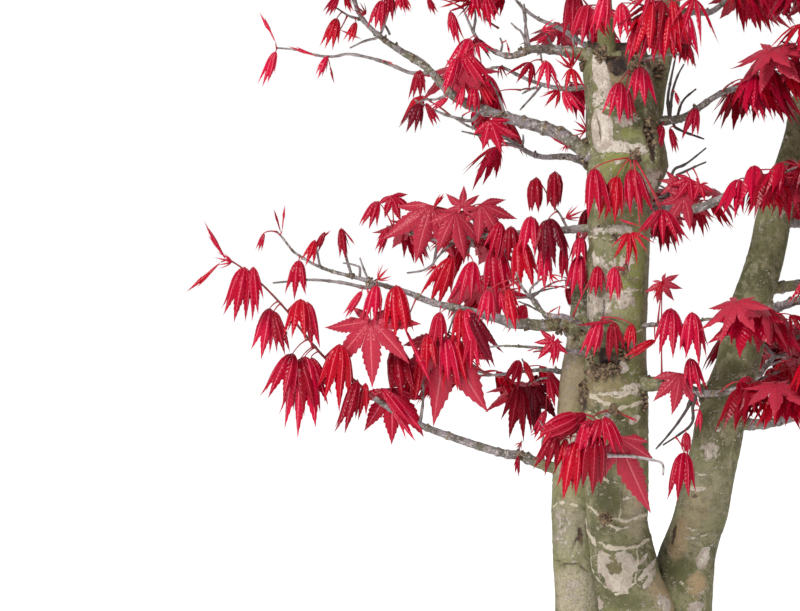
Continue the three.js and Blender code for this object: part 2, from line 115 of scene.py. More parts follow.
# Each limb: trunk, height of its foot, the place it bows to, its tip, its radius, the share of it
# that is bare bough, its pairs of side shoots, their spread, and its seed.
LIMBS = {
    "upper_left": ("trunk_main", 466, (-150, -12, 500), (-285, -25, 652), 7.4, 0.62, 3, 66, 11),
    "top_left": ("trunk_main", 554, (-84, -4, 558), (-144, -8, 602), 6.4, 0.36, 2, 58, 12),
    "upper_back_left": ("trunk_main", 526, (-75, 45, 524), (-160, 95, 556), 2.8, 0, 2, 50, 13),
    "middle_left": ("trunk_main", 288, (-150, -6, 318), (-312, -10, 402), 5.6, 0.62, 3, 52, 14),
    "middle_left_spur": ("trunk_main", 306, (-74, -34, 306), (-98, -30, 364), 3.6, 0, 1, 40, 15),
    "lower_left": ("trunk_back", 181, (-200, -2, 203), (-357, -45, 378), 4.8, 0.5, 4, 40, 16),
    "middle_back_left": ("trunk_main", 402, (-95, 50, 396), (-205, 100, 400), 3.8, 0.55, 2, 58, 17),
    "lower_back_left": ("trunk_back", 268, (-80, 62, 268), (-140, 80, 270), 2.8, 0, 2, 44, 18),
    "lower_front_left": ("trunk_main", 286, (-60, -34, 287), (-118, -48, 292), 2.6, 0, 2, 40, 19),
    "lower_front": ("trunk_main", 236, (-12, -60, 246), (-22, -112, 240), 3.4, 0, 2, 52, 20),
    "middle_front": ("trunk_main", 362, (2, -60, 366), (-8, -112, 364), 2.8, 0, 2, 42, 21),
    "upper_front": ("trunk_main", 458, (4, -70, 468), (4, -124, 462), 3.4, 0, 2, 50, 22),
    "top_front": ("trunk_main", 530, (12, -66, 545), (18, -110, 584), 3.2, 0, 2, 44, 23),
    "lower_right": ("trunk_main", 268, (80, -48, 250), (166, -84, 262), 5.6, 0.5, 2, 56, 24),
    "right_twig": ("trunk_main", 312, (60, -54, 314), (114, -76, 324), 2.4, 0, 2, 36, 25),
    "middle_right": ("trunk_main", 410, (86, -30, 420), (212, -74, 474), 5.6, 0.5, 2, 60, 26),
    "upper_right": ("trunk_main", 492, (78, -12, 498), (178, -48, 580), 4.6, 0.5, 2, 56, 27),
    "lower_back": ("trunk_back", 300, (-45, 150, 304), (-75, 258, 348), 4.8, 0.5, 2, 68, 28),
    "middle_back": ("trunk_back", 395, (30, 165, 396), (70, 290, 452), 4.8, 0.5, 2, 68, 29),
    "upper_back": ("trunk_back", 462, (-50, 150, 462), (-150, 235, 522), 4.6, 0.5, 2, 64, 30),
    "right_low": ("trunk_right", 225, (215, 22, 226), (345, 10, 278), 5.2, 0.5, 2, 64, 31),
    "right_front_low": ("trunk_right", 330, (182, -86, 332), (252, -188, 384), 4.6, 0.5, 2, 60, 32),
    "right_back_low": ("trunk_right", 262, (145, 130, 262), (200, 245, 306), 4.6, 0.5, 2, 64, 33),
    "right_middle": ("trunk_right", 348, (250, 36, 350), (405, 48, 410), 5.2, 0.52, 2, 68, 34),
    "right_back": ("trunk_right", 405, (200, 130, 405), (262, 240, 478), 4.6, 0.5, 2, 64, 35),
    "right_upper": ("trunk_right", 452, (260, 6, 455), (380, -30, 536), 4.6, 0.5, 2, 64, 36),
    "right_front": ("trunk_right", 498, (205, -85, 500), (250, -170, 584), 4.2, 0.45, 2, 58, 37),
    "right_top": ("trunk_right", 590, (202, 46, 640), (216, 40, 705), 6, 0, 3, 66, 38),
    "leader_left": ("leader", 642, (-85, -46, 650), (-172, -92, 724), 4.2, 0.4, 2, 58, 39),
    "leader_right": ("leader", 672, (60, -40, 676), (132, -72, 742), 4, 0.4, 2, 58, 40),
    "leader_top": ("leader", 780, (-12, 2, 815), (-22, 0, 860), 3.2, 0, 3, 60, 41),
    "back_left_top": ("trunk_back", 560, (-30, 140, 566), (-112, 190, 655), 4.2, 0.4, 2, 60, 42),
    "back_right_top": ("trunk_back", 604, (115, 135, 606), (186, 185, 684), 4.2, 0.4, 2, 58, 43),
    "back_top": ("trunk_back", 680, (68, 88, 720), (78, 96, 792), 5, 0, 3, 64, 44),
}
UPRIGHT = ("right_top", "leader_top", "back_top")
COLLAR_SHARE = 0.5
COLLAR_REACH = 0.07
# Limbs that leave the trunk thicker still, and by how much.
FOOT_GIRTH = {"lower_right": 0.75, "middle_left": 0.35, "top_left": 0.25}
GIRTH_REACH = 0.26
TIP_RADIUS = 0.85
FRONT_LIMBS = ("lower_front", "middle_front", "upper_front", "top_front")

# The rule by which limbs wave and shoots branch, and how far leaves keep from other limbs' stems.
WAVE_HEIGHT = 3.2
WAVES = 2.6
OUT_OF_TRUNK = 0.28
FIRST_PAIR = 0.55
SHOOT_TURN = (0.7, 1.15)
SHOOT_RISE = (0.05, 0.4)
SHOOT_BEND = 0.12
LEAF_LENGTH = 50
SPACE_MARGIN = 2
SPACE_DROP = 22
SITES_PER_STEM = 12
OPEN_SHARE = 0.25
YOUNG_SHARE = 0.16
PAIR_TURNS = (0.5, 1.3)
STALK_LENGTHS = (9, 22)
LEAF_SIZES = (0.72, 1.08)
DROOPS = (0.3, 0.9)
SHOOT_LENGTHS = (0.75, 1.25)
SPURS = 8
SPUR_LENGTHS = (0.3, 0.65)
SPUR_REACH = (0.5, 1.1)
BOX_MARGIN = 6
BOX_LOW = np.array(cad_box[0]) / MM
BOX_HIGH = np.array(cad_box[1]) / MM

# The view: a level camera in front of the tree. Pixels are those of an 800 by 611 picture, and a
# pixel is this wide at the main trunk.
PIXEL = 0.9
CAMERA_DISTANCE = 2200
CAMERA_X = -199.8
CAMERA_Z = 332.55
CENTRE_PX = 400
CENTRE_PY = 305.5
SENSOR = 36
LENS = 110
# In pixels: how far right and low the view's leaves are kept to, the step of lines along pixels, and how
# far inside a trunk's edge a place is hidden by it.
PICTURE_RIGHT = 705
PICTURE_LOW = 640
PIXEL_STEP = 3
TRUNK_EDGE = 8

# Where the boughs that the view shows run, as pixels along each.
SEEN_LINES = {
    "upper_left": [
        (626, 160), (604, 158), (582, 150), (562, 134), (544, 128), (526, 123), (499, 115), (480, 109),
        (465, 103), (449, 93), (436, 77), (426, 67), (404, 53), (382, 39), (360, 18), (352, -8),
        (334, -30), (308, -48),
    ],
    "top_left": [
        (618, 64), (596, 58), (582, 54), (564, 51), (546, 49), (530, 49), (523, 52), (511, 57),
        (500, 54), (490, 49), (480, 44), (471, 28), (463, 8),
    ],
    "upper_back_left": [
        (612, 90), (588, 86), (567, 90), (542, 85), (519, 76), (501, 66), (481, 71), (462, 70), (446, 68),
    ],
    "middle_left": [
        (616, 356), (600, 348), (584, 338), (566, 323), (546, 326), (528, 324), (511, 324), (499, 318),
        (457, 308), (432, 303), (410, 293), (392, 288), (369, 281), (354, 277), (330, 271), (315, 265),
        (300, 256), (293, 252), (283, 238), (277, 232),
    ],
    "middle_left_spur": [
        (612, 338), (592, 332), (568, 316), (546, 316), (534, 303), (519, 283), (516, 272),
    ],
    "lower_left": [
        (577, 472), (560, 470), (538, 463), (519, 455), (509, 455), (477, 446), (443, 434), (420, 425),
        (403, 416), (376, 400), (351, 377), (329, 363), (303, 333), (287, 310), (261, 283), (249, 274),
        (241, 267), (228, 259),
    ],
    "middle_back_left": [
        (612, 228), (586, 228), (568, 230), (511, 233), (481, 236), (467, 237), (446, 242), (424, 238),
        (408, 233), (394, 230),
    ],
    "lower_back_left": [
        (592, 378), (581, 376), (552, 370), (535, 370), (505, 374), (484, 376), (470, 374),
    ],
    "lower_front_left": [(612, 357), (581, 352), (552, 349), (516, 346), (499, 346), (490, 347)],
}

# Crumpled knots that the view shows. On trunks: the pixel, half width and half height in pixels, how
# many lumps, and their size. On limbs: the pixel, the reach in pixels, how many lumps, and their size.
TRUNK_GNARLS = [
    ("trunk_main", 582, 57, 8, 12, 18, 2.3),
    ("trunk_main", 601, 53, 7, 8, 16, 1.7),
    ("trunk_main", 634, 54, 8, 10, 24, 2.0),
    ("trunk_back", 655, 72, 9, 11, 22, 2.1),
    ("trunk_main", 588, 150, 7, 15, 18, 2.2),
    ("trunk_main", 602, 226, 5, 4, 9, 1.3),
    ("trunk_main", 614, 237, 6, 4, 10, 1.4),
    ("trunk_main", 637, 64, 7, 17, 18, 2.2),
    ("trunk_main", 648, 138, 6, 24, 26, 1.9),
    ("trunk_main", 602, 371, 20, 7, 30, 2.5),
    ("trunk_main", 592, 352, 7, 10, 16, 2.3),
    ("trunk_main", 624, 352, 7, 9, 14, 2.0),
    ("trunk_main", 586, 398, 10, 15, 30, 2.7),
    ("trunk_main", 605, 518, 6, 6, 16, 1.9),
    ("trunk_main", 634, 158, 5, 4, 8, 1.5),
    ("trunk_main", 644, 402, 5, 12, 12, 1.8),
    ("trunk_right", 692, 395, 10, 10, 12, 2.2),
]
LIMB_GNARLS = [
    ("middle_left", 558, 325, 13, 26, 2.0),
    ("middle_left", 582, 338, 9, 14, 2.0),
    ("middle_left", 370, 280, 6, 9, 1.3),
    ("middle_left", 352, 274, 5, 7, 1.2),
    ("lower_left", 519, 455, 6, 12, 1.8),
    ("lower_left", 544, 463, 4, 6, 1.4),
    ("upper_left", 500, 115, 5, 7, 1.4),
    ("upper_left", 436, 78, 4, 6, 1.2),
    ("top_left", 524, 52, 5, 8, 1.4),
    ("middle_back_left", 476, 237, 5, 7, 1.4),
]

# Twigs that the view shows, by limb: the pixels along each, from the limb out.
SEEN_TWIGS = {
    "upper_left": [
        [(430, 73), (411, 74), (396, 67), (376, 59), (348, 53), (335, 57), (317, 56), (300, 50), (277, 48)],
        [(480, 111), (472, 122), (460, 119), (442, 114), (415, 100)],
        [(362, 19), (350, 17), (335, 7)],
        [(438, 80), (426, 62), (409, 52), (402, 50)],
        [(505, 117), (502, 104), (497, 92), (490, 80)],
        [(379, 37), (383, 29), (388, 14), (390, 2)],
        [(450, 94), (436, 100), (424, 99), (416, 104)],
        [(379, 38), (366, 40), (350, 48)],
        [(450, 94), (455, 76), (462, 60)],
    ],
    "top_left": [
        [(526, 52), (525, 40), (526, 15), (524, 4)],
        [(524, 30), (519, 31), (511, 23)],
        [(525, 12), (516, 1)],
        [(556, 52), (549, 40), (545, 28)],
        [(575, 53), (572, 38), (580, 20), (588, 6)],
        [(473, 32), (476, 18), (474, 4)],
        [(500, 54), (503, 44), (500, 38)],
        [(540, 50), (542, 62)],
    ],
    "upper_back_left": [[(542, 85), (532, 97), (520, 110)]],
    "middle_left": [
        [(369, 281), (364, 270), (360, 258)],
        [(363, 268), (352, 264), (343, 263)],
        [(375, 284), (369, 289), (346, 283), (311, 279), (273, 283)],
        [(320, 267), (318, 256), (316, 244)],
        [(457, 308), (452, 322), (448, 334)],
        [(352, 276), (346, 258), (344, 238)],
    ],
    "lower_left": [
        [(403, 414), (399, 386), (394, 356)],
        [(420, 423), (424, 396), (421, 366)],
        [(519, 454), (519, 446), (522, 441)],
        [(544, 466), (542, 448), (544, 428), (540, 421)],
    ],
    "middle_back_left": [
        [(467, 237), (451, 244), (438, 256), (432, 266)],
        [(473, 240), (467, 253)],
        [(436, 262), (424, 271), (407, 273)],
        [(481, 236), (474, 222), (468, 206)],
        [(568, 230), (560, 214), (553, 206)],
    ],
    "middle_left_spur": [[(534, 303), (528, 290), (540, 280)]],
    "lower_front": [
        [(600, 424), (597, 440), (600, 454), (610, 456), (632, 456), (654, 460), (664, 463), (663, 475)],
    ],
    "middle_front": [[(622, 270), (614, 288), (604, 304), (601, 320)]],
    "lower_right": [
        [(690, 402), (688, 408), (678, 423), (667, 437), (656, 449)],
        [(692, 404), (694, 424), (674, 438), (663, 445)],
    ],
    "upper_right": [
        [(676, 122), (682, 100), (696, 89)],
        [(672, 126), (684, 132), (704, 139)],
        [(670, 120), (667, 100), (671, 78), (676, 55)],
        [(670, 112), (672, 92), (677, 76), (684, 64)],
    ],
    "middle_right": [
        [(664, 214), (672, 168), (684, 166), (706, 148)],
        [(674, 176), (684, 172), (694, 167), (706, 162)],
    ],
}

# Leaves that the view shows, by limb: the kind, the pixel it hangs from or opens at, and the pixel of
# its longest tip.
SEEN_LEAVES = {
    "lower_left": [
        ("hang", 245, 267, 234, 323), ("lean", 254, 267, 258, 320), ("sliver", 226, 260, 204, 226),
        ("sliver", 221, 262, 188, 291), ("young", 232, 262, 213, 259), ("hang", 270, 308, 261, 354),
        ("lean", 274, 311, 286, 356), ("hang", 301, 299, 300, 349), ("lean", 308, 302, 314, 350),
        ("hang", 293, 353, 278, 408), ("hang", 305, 356, 305, 432), ("lean", 311, 357, 327, 404),
        ("hang", 301, 358, 316, 415), ("hang", 340, 344, 331, 406), ("lean", 358, 380, 344, 437),
        ("lean", 366, 383, 362, 420), ("fan", 391, 388, 395, 448), ("lean", 388, 391, 424, 437),
        ("lean", 382, 388, 408, 424), ("shut", 396, 347, 403, 400), ("shut", 419, 363, 411, 400),
        ("young", 521, 443, 514, 452), ("lean", 518, 456, 516, 476), ("sliver", 544, 428, 530, 436),
    ],
    "middle_left": [
        ("lean", 264, 233, 258, 252), ("lean", 325, 232, 317, 253), ("sliver", 281, 233, 274, 209),
        ("sliver", 282, 231, 285, 206), ("lean", 315, 240, 305, 268), ("hang", 299, 260, 298, 298),
        ("sliver", 316, 243, 332, 229), ("lean", 341, 228, 344, 260), ("sliver", 343, 229, 356, 245),
        ("lean", 362, 291, 345, 316), ("young", 378, 280, 394, 269), ("hang", 377, 285, 374, 326),
        ("hang", 396, 285, 404, 345), ("open", 371, 321, 373, 384), ("fan", 447, 340, 430, 424, "rose"),
        ("hang", 429, 334, 430, 374), ("hang", 445, 336, 450, 387), ("hang", 474, 331, 476, 371),
        ("hang", 452, 334, 464, 392), ("hang", 466, 309, 492, 364), ("hang", 460, 309, 458, 352),
        ("sliver", 404, 326, 432, 381), ("lean", 470, 312, 500, 365), ("hang", 440, 312, 436, 350),
        ("sliver", 486, 375, 465, 381), ("young", 346, 236, 340, 244),
    ],
    "middle_back_left": [
        ("fan", 431, 205, 415, 265, "rose"), ("fan", 455, 212, 462, 261, "rose"),
        ("fan", 480, 204, 505, 240, "rose"), ("open", 462, 208, 461, 182), ("lean", 434, 207, 444, 194),
        ("hang", 378, 201, 367, 232), ("fan", 392, 195, 401, 221, "crimson"),
        ("lean", 388, 227, 375, 254), ("hang", 452, 257, 436, 305), ("hang", 473, 261, 468, 307),
        ("hang", 500, 222, 489, 262), ("hang", 511, 226, 512, 266), ("hang", 496, 247, 504, 309),
        ("hang", 531, 216, 526, 266), ("hang", 521, 240, 530, 297), ("hang", 549, 218, 560, 270),
        ("hang", 546, 220, 544, 258), ("shut", 536, 177, 536, 217), ("shut", 555, 171, 555, 212),
        ("lean", 564, 241, 564, 281), ("hang", 581, 237, 577, 272), ("hang", 604, 262, 596, 300),
        ("hang", 580, 255, 578, 301), ("young", 566, 218, 584, 212), ("young", 436, 266, 424, 282),
        ("lean", 545, 240, 544, 292),
    ],
    "middle_left_spur": [
        ("hang", 489, 290, 486, 326), ("lean", 508, 288, 517, 333), ("young", 550, 275, 561, 288),
        ("hang", 598, 266, 596, 298), ("sliver", 560, 306, 546, 314), ("lean", 500, 292, 506, 320),
    ],
    "lower_back_left": [
        ("hang", 519, 360, 507, 392), ("lean", 524, 361, 534, 384), ("hang", 519, 385, 510, 438, "deep"),
        ("lean", 546, 410, 534, 440), ("fan", 533, 386, 539, 432, "maroon"),
        ("hang", 550, 375, 560, 410),
    ],
    "lower_front_left": [
        ("open", 554, 341, 538, 357), ("lean", 558, 338, 556, 367), ("sliver", 536, 348, 524, 352),
    ],
    "lower_front": [
        ("shut", 578, 416, 533, 435), ("hang", 586, 414, 550, 438),
        ("hang", 600, 419, 590, 450, "crimson"), ("hang", 556, 434, 541, 474),
        ("lean", 566, 438, 560, 470), ("hang", 558, 420, 541, 446), ("hang", 577, 441, 569, 496),
        ("lean", 571, 443, 564, 493), ("shut", 595, 432, 592, 492), ("hang", 604, 417, 615, 455),
        ("wide", 616, 436, 658, 513, "rose"), ("lean", 610, 420, 622, 447),
        ("sliver", 600, 420, 574, 424), ("sliver", 618, 412, 640, 422), ("hang", 588, 420, 584, 462),
    ],
    "middle_front": [
        ("spread", 629, 233, 618, 268), ("young", 632, 232, 640, 262), ("hang", 614, 267, 610, 302),
        ("hang", 600, 321, 589, 362), ("hang", 614, 322, 617, 360), ("hang", 632, 324, 630, 352),
        ("sliver", 614, 322, 578, 325),
    ],
    "upper_front": [
        ("hang", 594, 168, 596, 220), ("hang", 617, 176, 613, 226), ("hang", 631, 169, 641, 219),
        ("spread", 662, 209, 662, 254), ("lean", 660, 210, 640, 236), ("sliver", 640, 226, 618, 219),
    ],
    "top_front": [
        ("hang", 620, 82, 612, 128), ("lean", 626, 88, 629, 124), ("hang", 640, 67, 638, 113),
        ("hang", 587, 5, 577, 50), ("hang", 588, 8, 600, 48), ("hang", 621, 3, 624, 42),
        ("young", 650, -6, 636, 40), ("young", 640, 14, 629, 56), ("young", 662, 0, 628, 58),
        ("young", 662, 17, 664, 65), ("young", 694, -2, 690, 52), ("hang", 686, 44, 684, 74),
        ("lean", 652, 2, 643, 64), ("hang", 656, 18, 649, 66), ("hang", 669, 14, 661, 69),
        ("lean", 640, 18, 630, 62), ("hang", 606, -6, 600, 34), ("lean", 672, 0, 676, 52),
    ],
    "right_twig": [
        ("hang", 671, 308, 663, 362), ("lean", 655, 340, 626, 358), ("hang", 692, 312, 690, 364),
        ("lean", 664, 280, 655, 298),
    ],
    "lower_right": [
        ("fan", 680, 373, 673, 417), ("shut", 686, 432, 686, 456), ("hang", 684, 452, 681, 504),
        ("open", 662, 282, 674, 302), ("lean", 700, 410, 698, 432), ("hang", 690, 358, 694, 398),
    ],
    "middle_right": [
        ("open", 684, 196, 690, 232), ("open", 678, 182, 660, 196), ("fan", 690, 178, 676, 200),
        ("open", 700, 184, 692, 200),
    ],
    "upper_right": [
        ("hang", 662, 125, 650, 154), ("hang", 660, 128, 652, 152), ("lean", 670, 128, 677, 152),
        ("hang", 696, 108, 690, 142), ("lean", 686, 12, 685, 70), ("lean", 675, 92, 678, 106),
    ],
    "top_left": [
        ("spread", 531, 62, 524, 97), ("spread", 547, 61, 549, 94), ("spread", 571, 68, 572, 98),
        ("young", 572, 68, 560, 42), ("sliver", 572, 68, 582, 48), ("spread", 559, 90, 549, 113),
        ("hang", 563, 91, 576, 118), ("young", 542, 30, 560, 26), ("lean", 548, 36, 531, 46),
        ("young", 474, 3, 480, 33), ("young", 470, 1, 440, 8), ("lean", 450, 11, 455, 46),
        ("hang", 476, -6, 478, 25), ("hang", 486, -4, 495, 27), ("sliver", 464, 0, 437, 9),
        ("hang", 574, -8, 573, 42), ("young", 606, 8, 611, 42), ("young", 475, 38, 486, 66),
        ("lean", 428, -2, 436, 18), ("hang", 470, 38, 456, 84), ("sliver", 506, 40, 510, 58),
    ],
    "upper_left": [
        ("sliver", 276, 43, 261, 15), ("sliver", 316, 56, 290, 47), ("lean", 276, 51, 266, 87),
        ("lean", 327, 56, 318, 78), ("sliver", 328, 57, 334, 84), ("hang", 337, 18, 328, 50),
        ("lean", 356, 22, 350, 47), ("sliver", 340, 30, 362, 40), ("hang", 338, -4, 326, 17),
        ("lean", 345, -6, 352, 14), ("hang", 382, 0, 377, 33), ("hang", 390, -5, 388, 24),
        ("hang", 398, -6, 402, 19), ("lean", 402, -6, 410, 14), ("hang", 420, 70, 419, 102),
        ("hang", 420, 103, 409, 136), ("lean", 426, 103, 438, 126), ("lean", 457, 57, 444, 97),
        ("hang", 464, 54, 486, 87), ("hang", 474, 87, 473, 118), ("lean", 464, 86, 458, 112),
        ("hang", 481, 84, 494, 106), ("spread", 478, 43, 496, 62), ("lean", 448, 98, 430, 112),
        ("fan", 490, 120, 502, 151), ("sliver", 494, 124, 521, 138), ("sliver", 492, 124, 508, 146),
        ("young", 586, 131, 563, 122), ("sliver", 568, 147, 550, 137), ("young", 566, 146, 562, 156),
        ("young", 366, 14, 356, 2), ("sliver", 384, 60, 396, 66), ("sliver", 450, 68, 462, 92),
    ],
    "upper_back_left": [("hang", 460, 72, 466, 96), ("young", 500, 66, 508, 80)],
}

# Leaves

# Each kind of leaf: how many lobes, the half angle of the cone that they hang on where they leave the
# stalk (shoulder) and near their tips (end), the share of them in which they turn from one to the other
# (bend), how far they close up round the cone, how deep they are cut, their half width, and how sharply
# they are pleated.
KIND_PARTS = ("lobes", "shoulder", "end", "bend", "close", "cut", "wide", "pleat")
LEAF_KINDS = {
    "hang": (7, 1.35, 0.17, 0.2, 0.8, 0.33, 0.115, 0.42),
    "spread": (5, 1.3, 0.46, 0.25, 0.82, 0.26, 0.1, 0.4),
    "shut": (7, 1.3, -0.16, 0.3, 0.86, 0.6, 0.11, 0.5),
    "lean": (5, 1.1, 0.1, 0.16, 0.8, 0.34, 0.1, 0.42),
    "fan": (5, 1.45, 1.16, 0.35, 0.78, 0.32, 0.17, 0.16),
    "open": (7, 1.5, 1.22, 0.4, 1.0, 0.4, 0.15, 0.12),
    "wide": (4, 1.5, 1.25, 0.4, 1.0, 0.4, 0.14, 0.12),
    "young": (7, 1.3, 0.5, 0.25, 0.8, 0.24, 0.066, 0.4),
    "sliver": (3, 0.3, 0.03, 0.2, 1.0, 0.45, 0.06, 0.5),
}
LOBE_TURNS = {
    3: (-0.6, 0, 0.6),
    4: (-0.98, -0.62, 0, 0.9),
    5: (-1.75, -0.85, 0, 0.85, 1.75),
    7: (-2.3, -1.55, -0.78, 0, 0.78, 1.55, 2.3),
}
LOBE_LENGTHS = {
    3: (0.74, 1, 0.8),
    4: (0.42, 0.64, 1, 0.6),
    5: (0.62, 0.9, 1, 0.9, 0.62),
    7: (0.46, 0.78, 0.94, 1, 0.94, 0.78, 0.46),
}
# How far from its middle line each kind of leaf hides what is behind it, in pixels.
HIDING_REACH = {
    "hang": 10, "spread": 9, "shut": 8, "lean": 6, "fan": 15, "open": 12, "wide": 12, "young": 4, "sliver": 1,
}
# Limbs whose leaves stand behind many named ones, and how much further those hide them.
HIDDEN_LIMBS = {
    "upper_back": 2.0, "lower_back": 1.7, "middle_back": 1.7, "middle_back_left": 1.4, "lower_back_left": 1.4,
    "upper_back_left": 1.3, "back_left_top": 1.3,
}
CLOSED_KINDS = ("hang", "lean", "shut", "spread")

# A lobe: the steps of its path, the teeth of a leaf that the view shows and of any other, the width of
# its midrib, how far its halves puff up, how its side veins lean, how its turn, length and pleat vary,
# and its two materials.
LOBE_STEPS = 40
FULL_TEETH = 7
PLAIN_TEETH = 3
VEIN_SHARE = 0.085
PUFF = 0.2
VEIN_LEAN = 0.75
TURN_VARIES = (0.94, 1.06)
LENGTH_VARIES = (0.92, 1.08)
LEAST_FOLD = 0.2
PLEAT_VARIES = (0.6, 1.3)
BLADE, VEIN = 0, 1
STALK_RADIUS = 0.62
STALK_STEPS = 5

# The tints of leaves: the blade and the midrib. Open kinds are rose by a share, and the others take
# the first tint whose limit is above a drawn number.
TINTS = {
    "crimson": ((0.355, 0.001, 0.019), (0.66, 0.09, 0.15)),
    "scarlet": ((0.40, 0.001, 0.012), (0.70, 0.10, 0.14)),
    "bright": ((0.46, 0.003, 0.032), (0.76, 0.15, 0.20)),
    "deep": ((0.22, 0.001, 0.010), (0.48, 0.04, 0.075)),
    "rose": ((0.40, 0.024, 0.048), (0.58, 0.11, 0.13)),
    "maroon": ((0.115, 0.001, 0.009), (0.22, 0.012, 0.026)),
}
ROSE_SHARES = {"open": 0.8, "fan": 0.5}
TINT_LIMITS = {"maroon": 0.015, "deep": 0.22, "crimson": 0.48, "scarlet": 0.74, "bright": 1}

# Twigs: limbs whose twigs are whitened or dark, the length past which a twig's foot grows no thicker,
# the wood of side shoots and spurs and the spacing of their leaves, the length under which one is a
# young shoot, the limb whose end is young, and the share it starts at.
PALE_TWIGS = ("lower_front", "right_twig")
DARK_TWIGS = ("lower_right", "middle_right", "upper_right")
THICKENING_LENGTH = 75.0
SHOOT_WOOD = {"first_radius": 1.5, "last_radius": 0.8, "spacing": 17}
SPUR_WOOD = {"first_radius": 1.2, "last_radius": 0.7, "spacing": 18}
YOUNG_TWIG = 26
TWIG_STEPS = 8
YOUNG_LIMB = "lower_left"
YOUNG_FROM = 0.53

# Sides of the wood; where a bough's nodes are and how wide, high and brown each is; and its knots: how
# many sides, the turn from one to the next round a gnarl, the share of nodes that have one, and the
# share of the limb without.
BOUGH_SIDES = 15
HIDDEN_SIDES = 9
TWIG_SIDES = 7
FIRST_NODES = (9, 17)
NODE_GAPS = (9, 21)
NODE_WIDTHS = (1.3, 2.5)
NODE_HEIGHTS = (0.12, 0.28)
NODE_BROWNS = (0.35, 0.75)
KNOB_SIDES = 8
SPIRAL_TURN = 2.4
KNOTTED_SHARE = 0.7
BARE_FOOT = 0.08

# Colours of the bark
OLIVE = (0.205, 0.202, 0.094)
DEEP_OLIVE = (0.088, 0.086, 0.036)
BEIGE = (0.40, 0.355, 0.255)
CREAM = (0.60, 0.545, 0.465)

# The room, in metres: the floor's half width, drop and glow, the sky's strength from below and above,
# and the key light from the front left.
WHITE = (1, 1, 1, 1)
FLOOR = 60
FLOOR_DROP = 0.0005
FLOOR_GLOW = 0.62
SKY_LOW = 0.2
SKY_HIGH = 0.66
KEY_PLACE = (-1.3, -1.9, 1.9)
KEY_TARGET = (0, 0, 0.4)
KEY_SIZE = 0.9
KEY_POWER = 60


# Numbers and curves


def seeded(seed):
    """A seeded row of even numbers from 0 to 1, the same as the solids use."""
    state = (seed * 7919) & 0xFFFFFFFF

    def draw():
        nonlocal state
        state = (state * 1664525 + 1013904223) & 0xFFFFFFFF
        return state / 4294967296

    for _ in range(4):
        draw()
    return draw


def between(limits, share):
    low, high = limits
    return low + (high - low) * share


def unit(vector):
    vector = np.asarray(vector, float)
    return vector / max(1e-9, np.linalg.norm(vector))


def level_side(way):
    """The level way across another, or to the right where that one is steep."""
    return unit(np.cross(UP, way)) if abs(way[2]) < 0.9 else RIGHT


def smooth(low, high, value):
    share = np.clip((value - low) / (high - low), 0, 1)
    return share * share * (3 - 2 * share)


def place_at(px, py, depth):
    """The place, in millimetres, that the view shows at a pixel at some depth."""
    scale = PIXEL * (1 + depth / CAMERA_DISTANCE)
    return np.array([CAMERA_X + (px - CENTRE_PX) * scale, depth, CAMERA_Z - (py - CENTRE_PY) * scale])


def seen_at(point):
    """The pixel at which the view shows a place."""
    scale = PIXEL * (1 + point[1] / CAMERA_DISTANCE)
    return CENTRE_PX + (point[0] - CAMERA_X) / scale, CENTRE_PY - (point[2] - CAMERA_Z) / scale


def pixels_of(points):
    return np.array([seen_at(point) for point in points])


def nearest_to(pixels, px, py):
    """Which of the pixels is nearest to another."""
    return int(np.argmin(np.hypot(pixels[:, 0] - px, pixels[:, 1] - py)))


def station_values(stations, heights):
    """X, Y and radius at each height, eased between the stations above and below."""
    table = np.array(stations, float)
    heights = np.asarray(heights, float)
    high = np.clip(np.searchsorted(table[:, 0], heights), 1, len(table) - 1)
    low = high - 1
    share = np.clip((heights - table[low, 0]) / (table[high, 0] - table[low, 0]), 0, 1)
    eased = share * share * (3 - 2 * share) * 0.5 + share * 0.5
    return table[low, 1:] + (table[high, 1:] - table[low, 1:]) * eased[..., None]


def hashed(cells, seed):
    """An even number from 0 to 1 for each cell of a lattice."""
    with np.errstate(over="ignore"):
        parts = [cells[..., i].astype(np.int64).astype(np.uint32) for i in range(3)]
        mixed = parts[0] * np.uint32(374761393) + parts[1] * np.uint32(668265263)
        mixed = mixed + parts[2] * np.uint32(2246822519) + np.uint32((seed * 144665 + 97) & 0xFFFFFFFF)
        mixed = (mixed ^ (mixed >> np.uint32(13))) * np.uint32(1274126177)
        mixed = (mixed ^ (mixed >> np.uint32(15))) * np.uint32(2246822519)
        mixed = mixed ^ (mixed >> np.uint32(16))
    return mixed.astype(np.float64) / 4294967295


def lumps(points, size, seed):
    """Smooth noise from -1 to 1 with lumps of about the given size."""
    scaled = points / np.asarray(size, float)
    cells = np.floor(scaled)
    inside = scaled - cells
    inside = inside * inside * (3 - 2 * inside)
    total = np.zeros(points.shape[:-1])
    for corner in range(8):
        step = np.array([corner & 1, corner >> 1 & 1, corner >> 2 & 1])
        weight = np.prod(np.where(step == 1, inside, 1 - inside), axis=-1)
        total += weight * hashed(cells + step, seed)
    return total * 2 - 1


def rough(points, size, seed, octaves=3):
    """Smooth noise from -1 to 1 with finer lumps on its lumps."""
    total = 0
    reach = 0
    for octave in range(octaves):
        strength = 0.5**octave
        total = total + strength * lumps(points, np.asarray(size, float) / 2**octave, seed + octave * 17)
        reach += strength
    return total / reach


def evenly(points, step):
    """The same line with its points at even steps, and each one's share of the whole length."""
    points = np.asarray(points, float)
    lengths = lengths_along(points)
    count = max(2, int(round(lengths[-1] / step)) + 1)
    wanted = np.linspace(0, lengths[-1], count)
    line = np.stack([np.interp(wanted, lengths, points[:, i]) for i in range(points.shape[1])], axis=1)
    return line, wanted / lengths[-1]


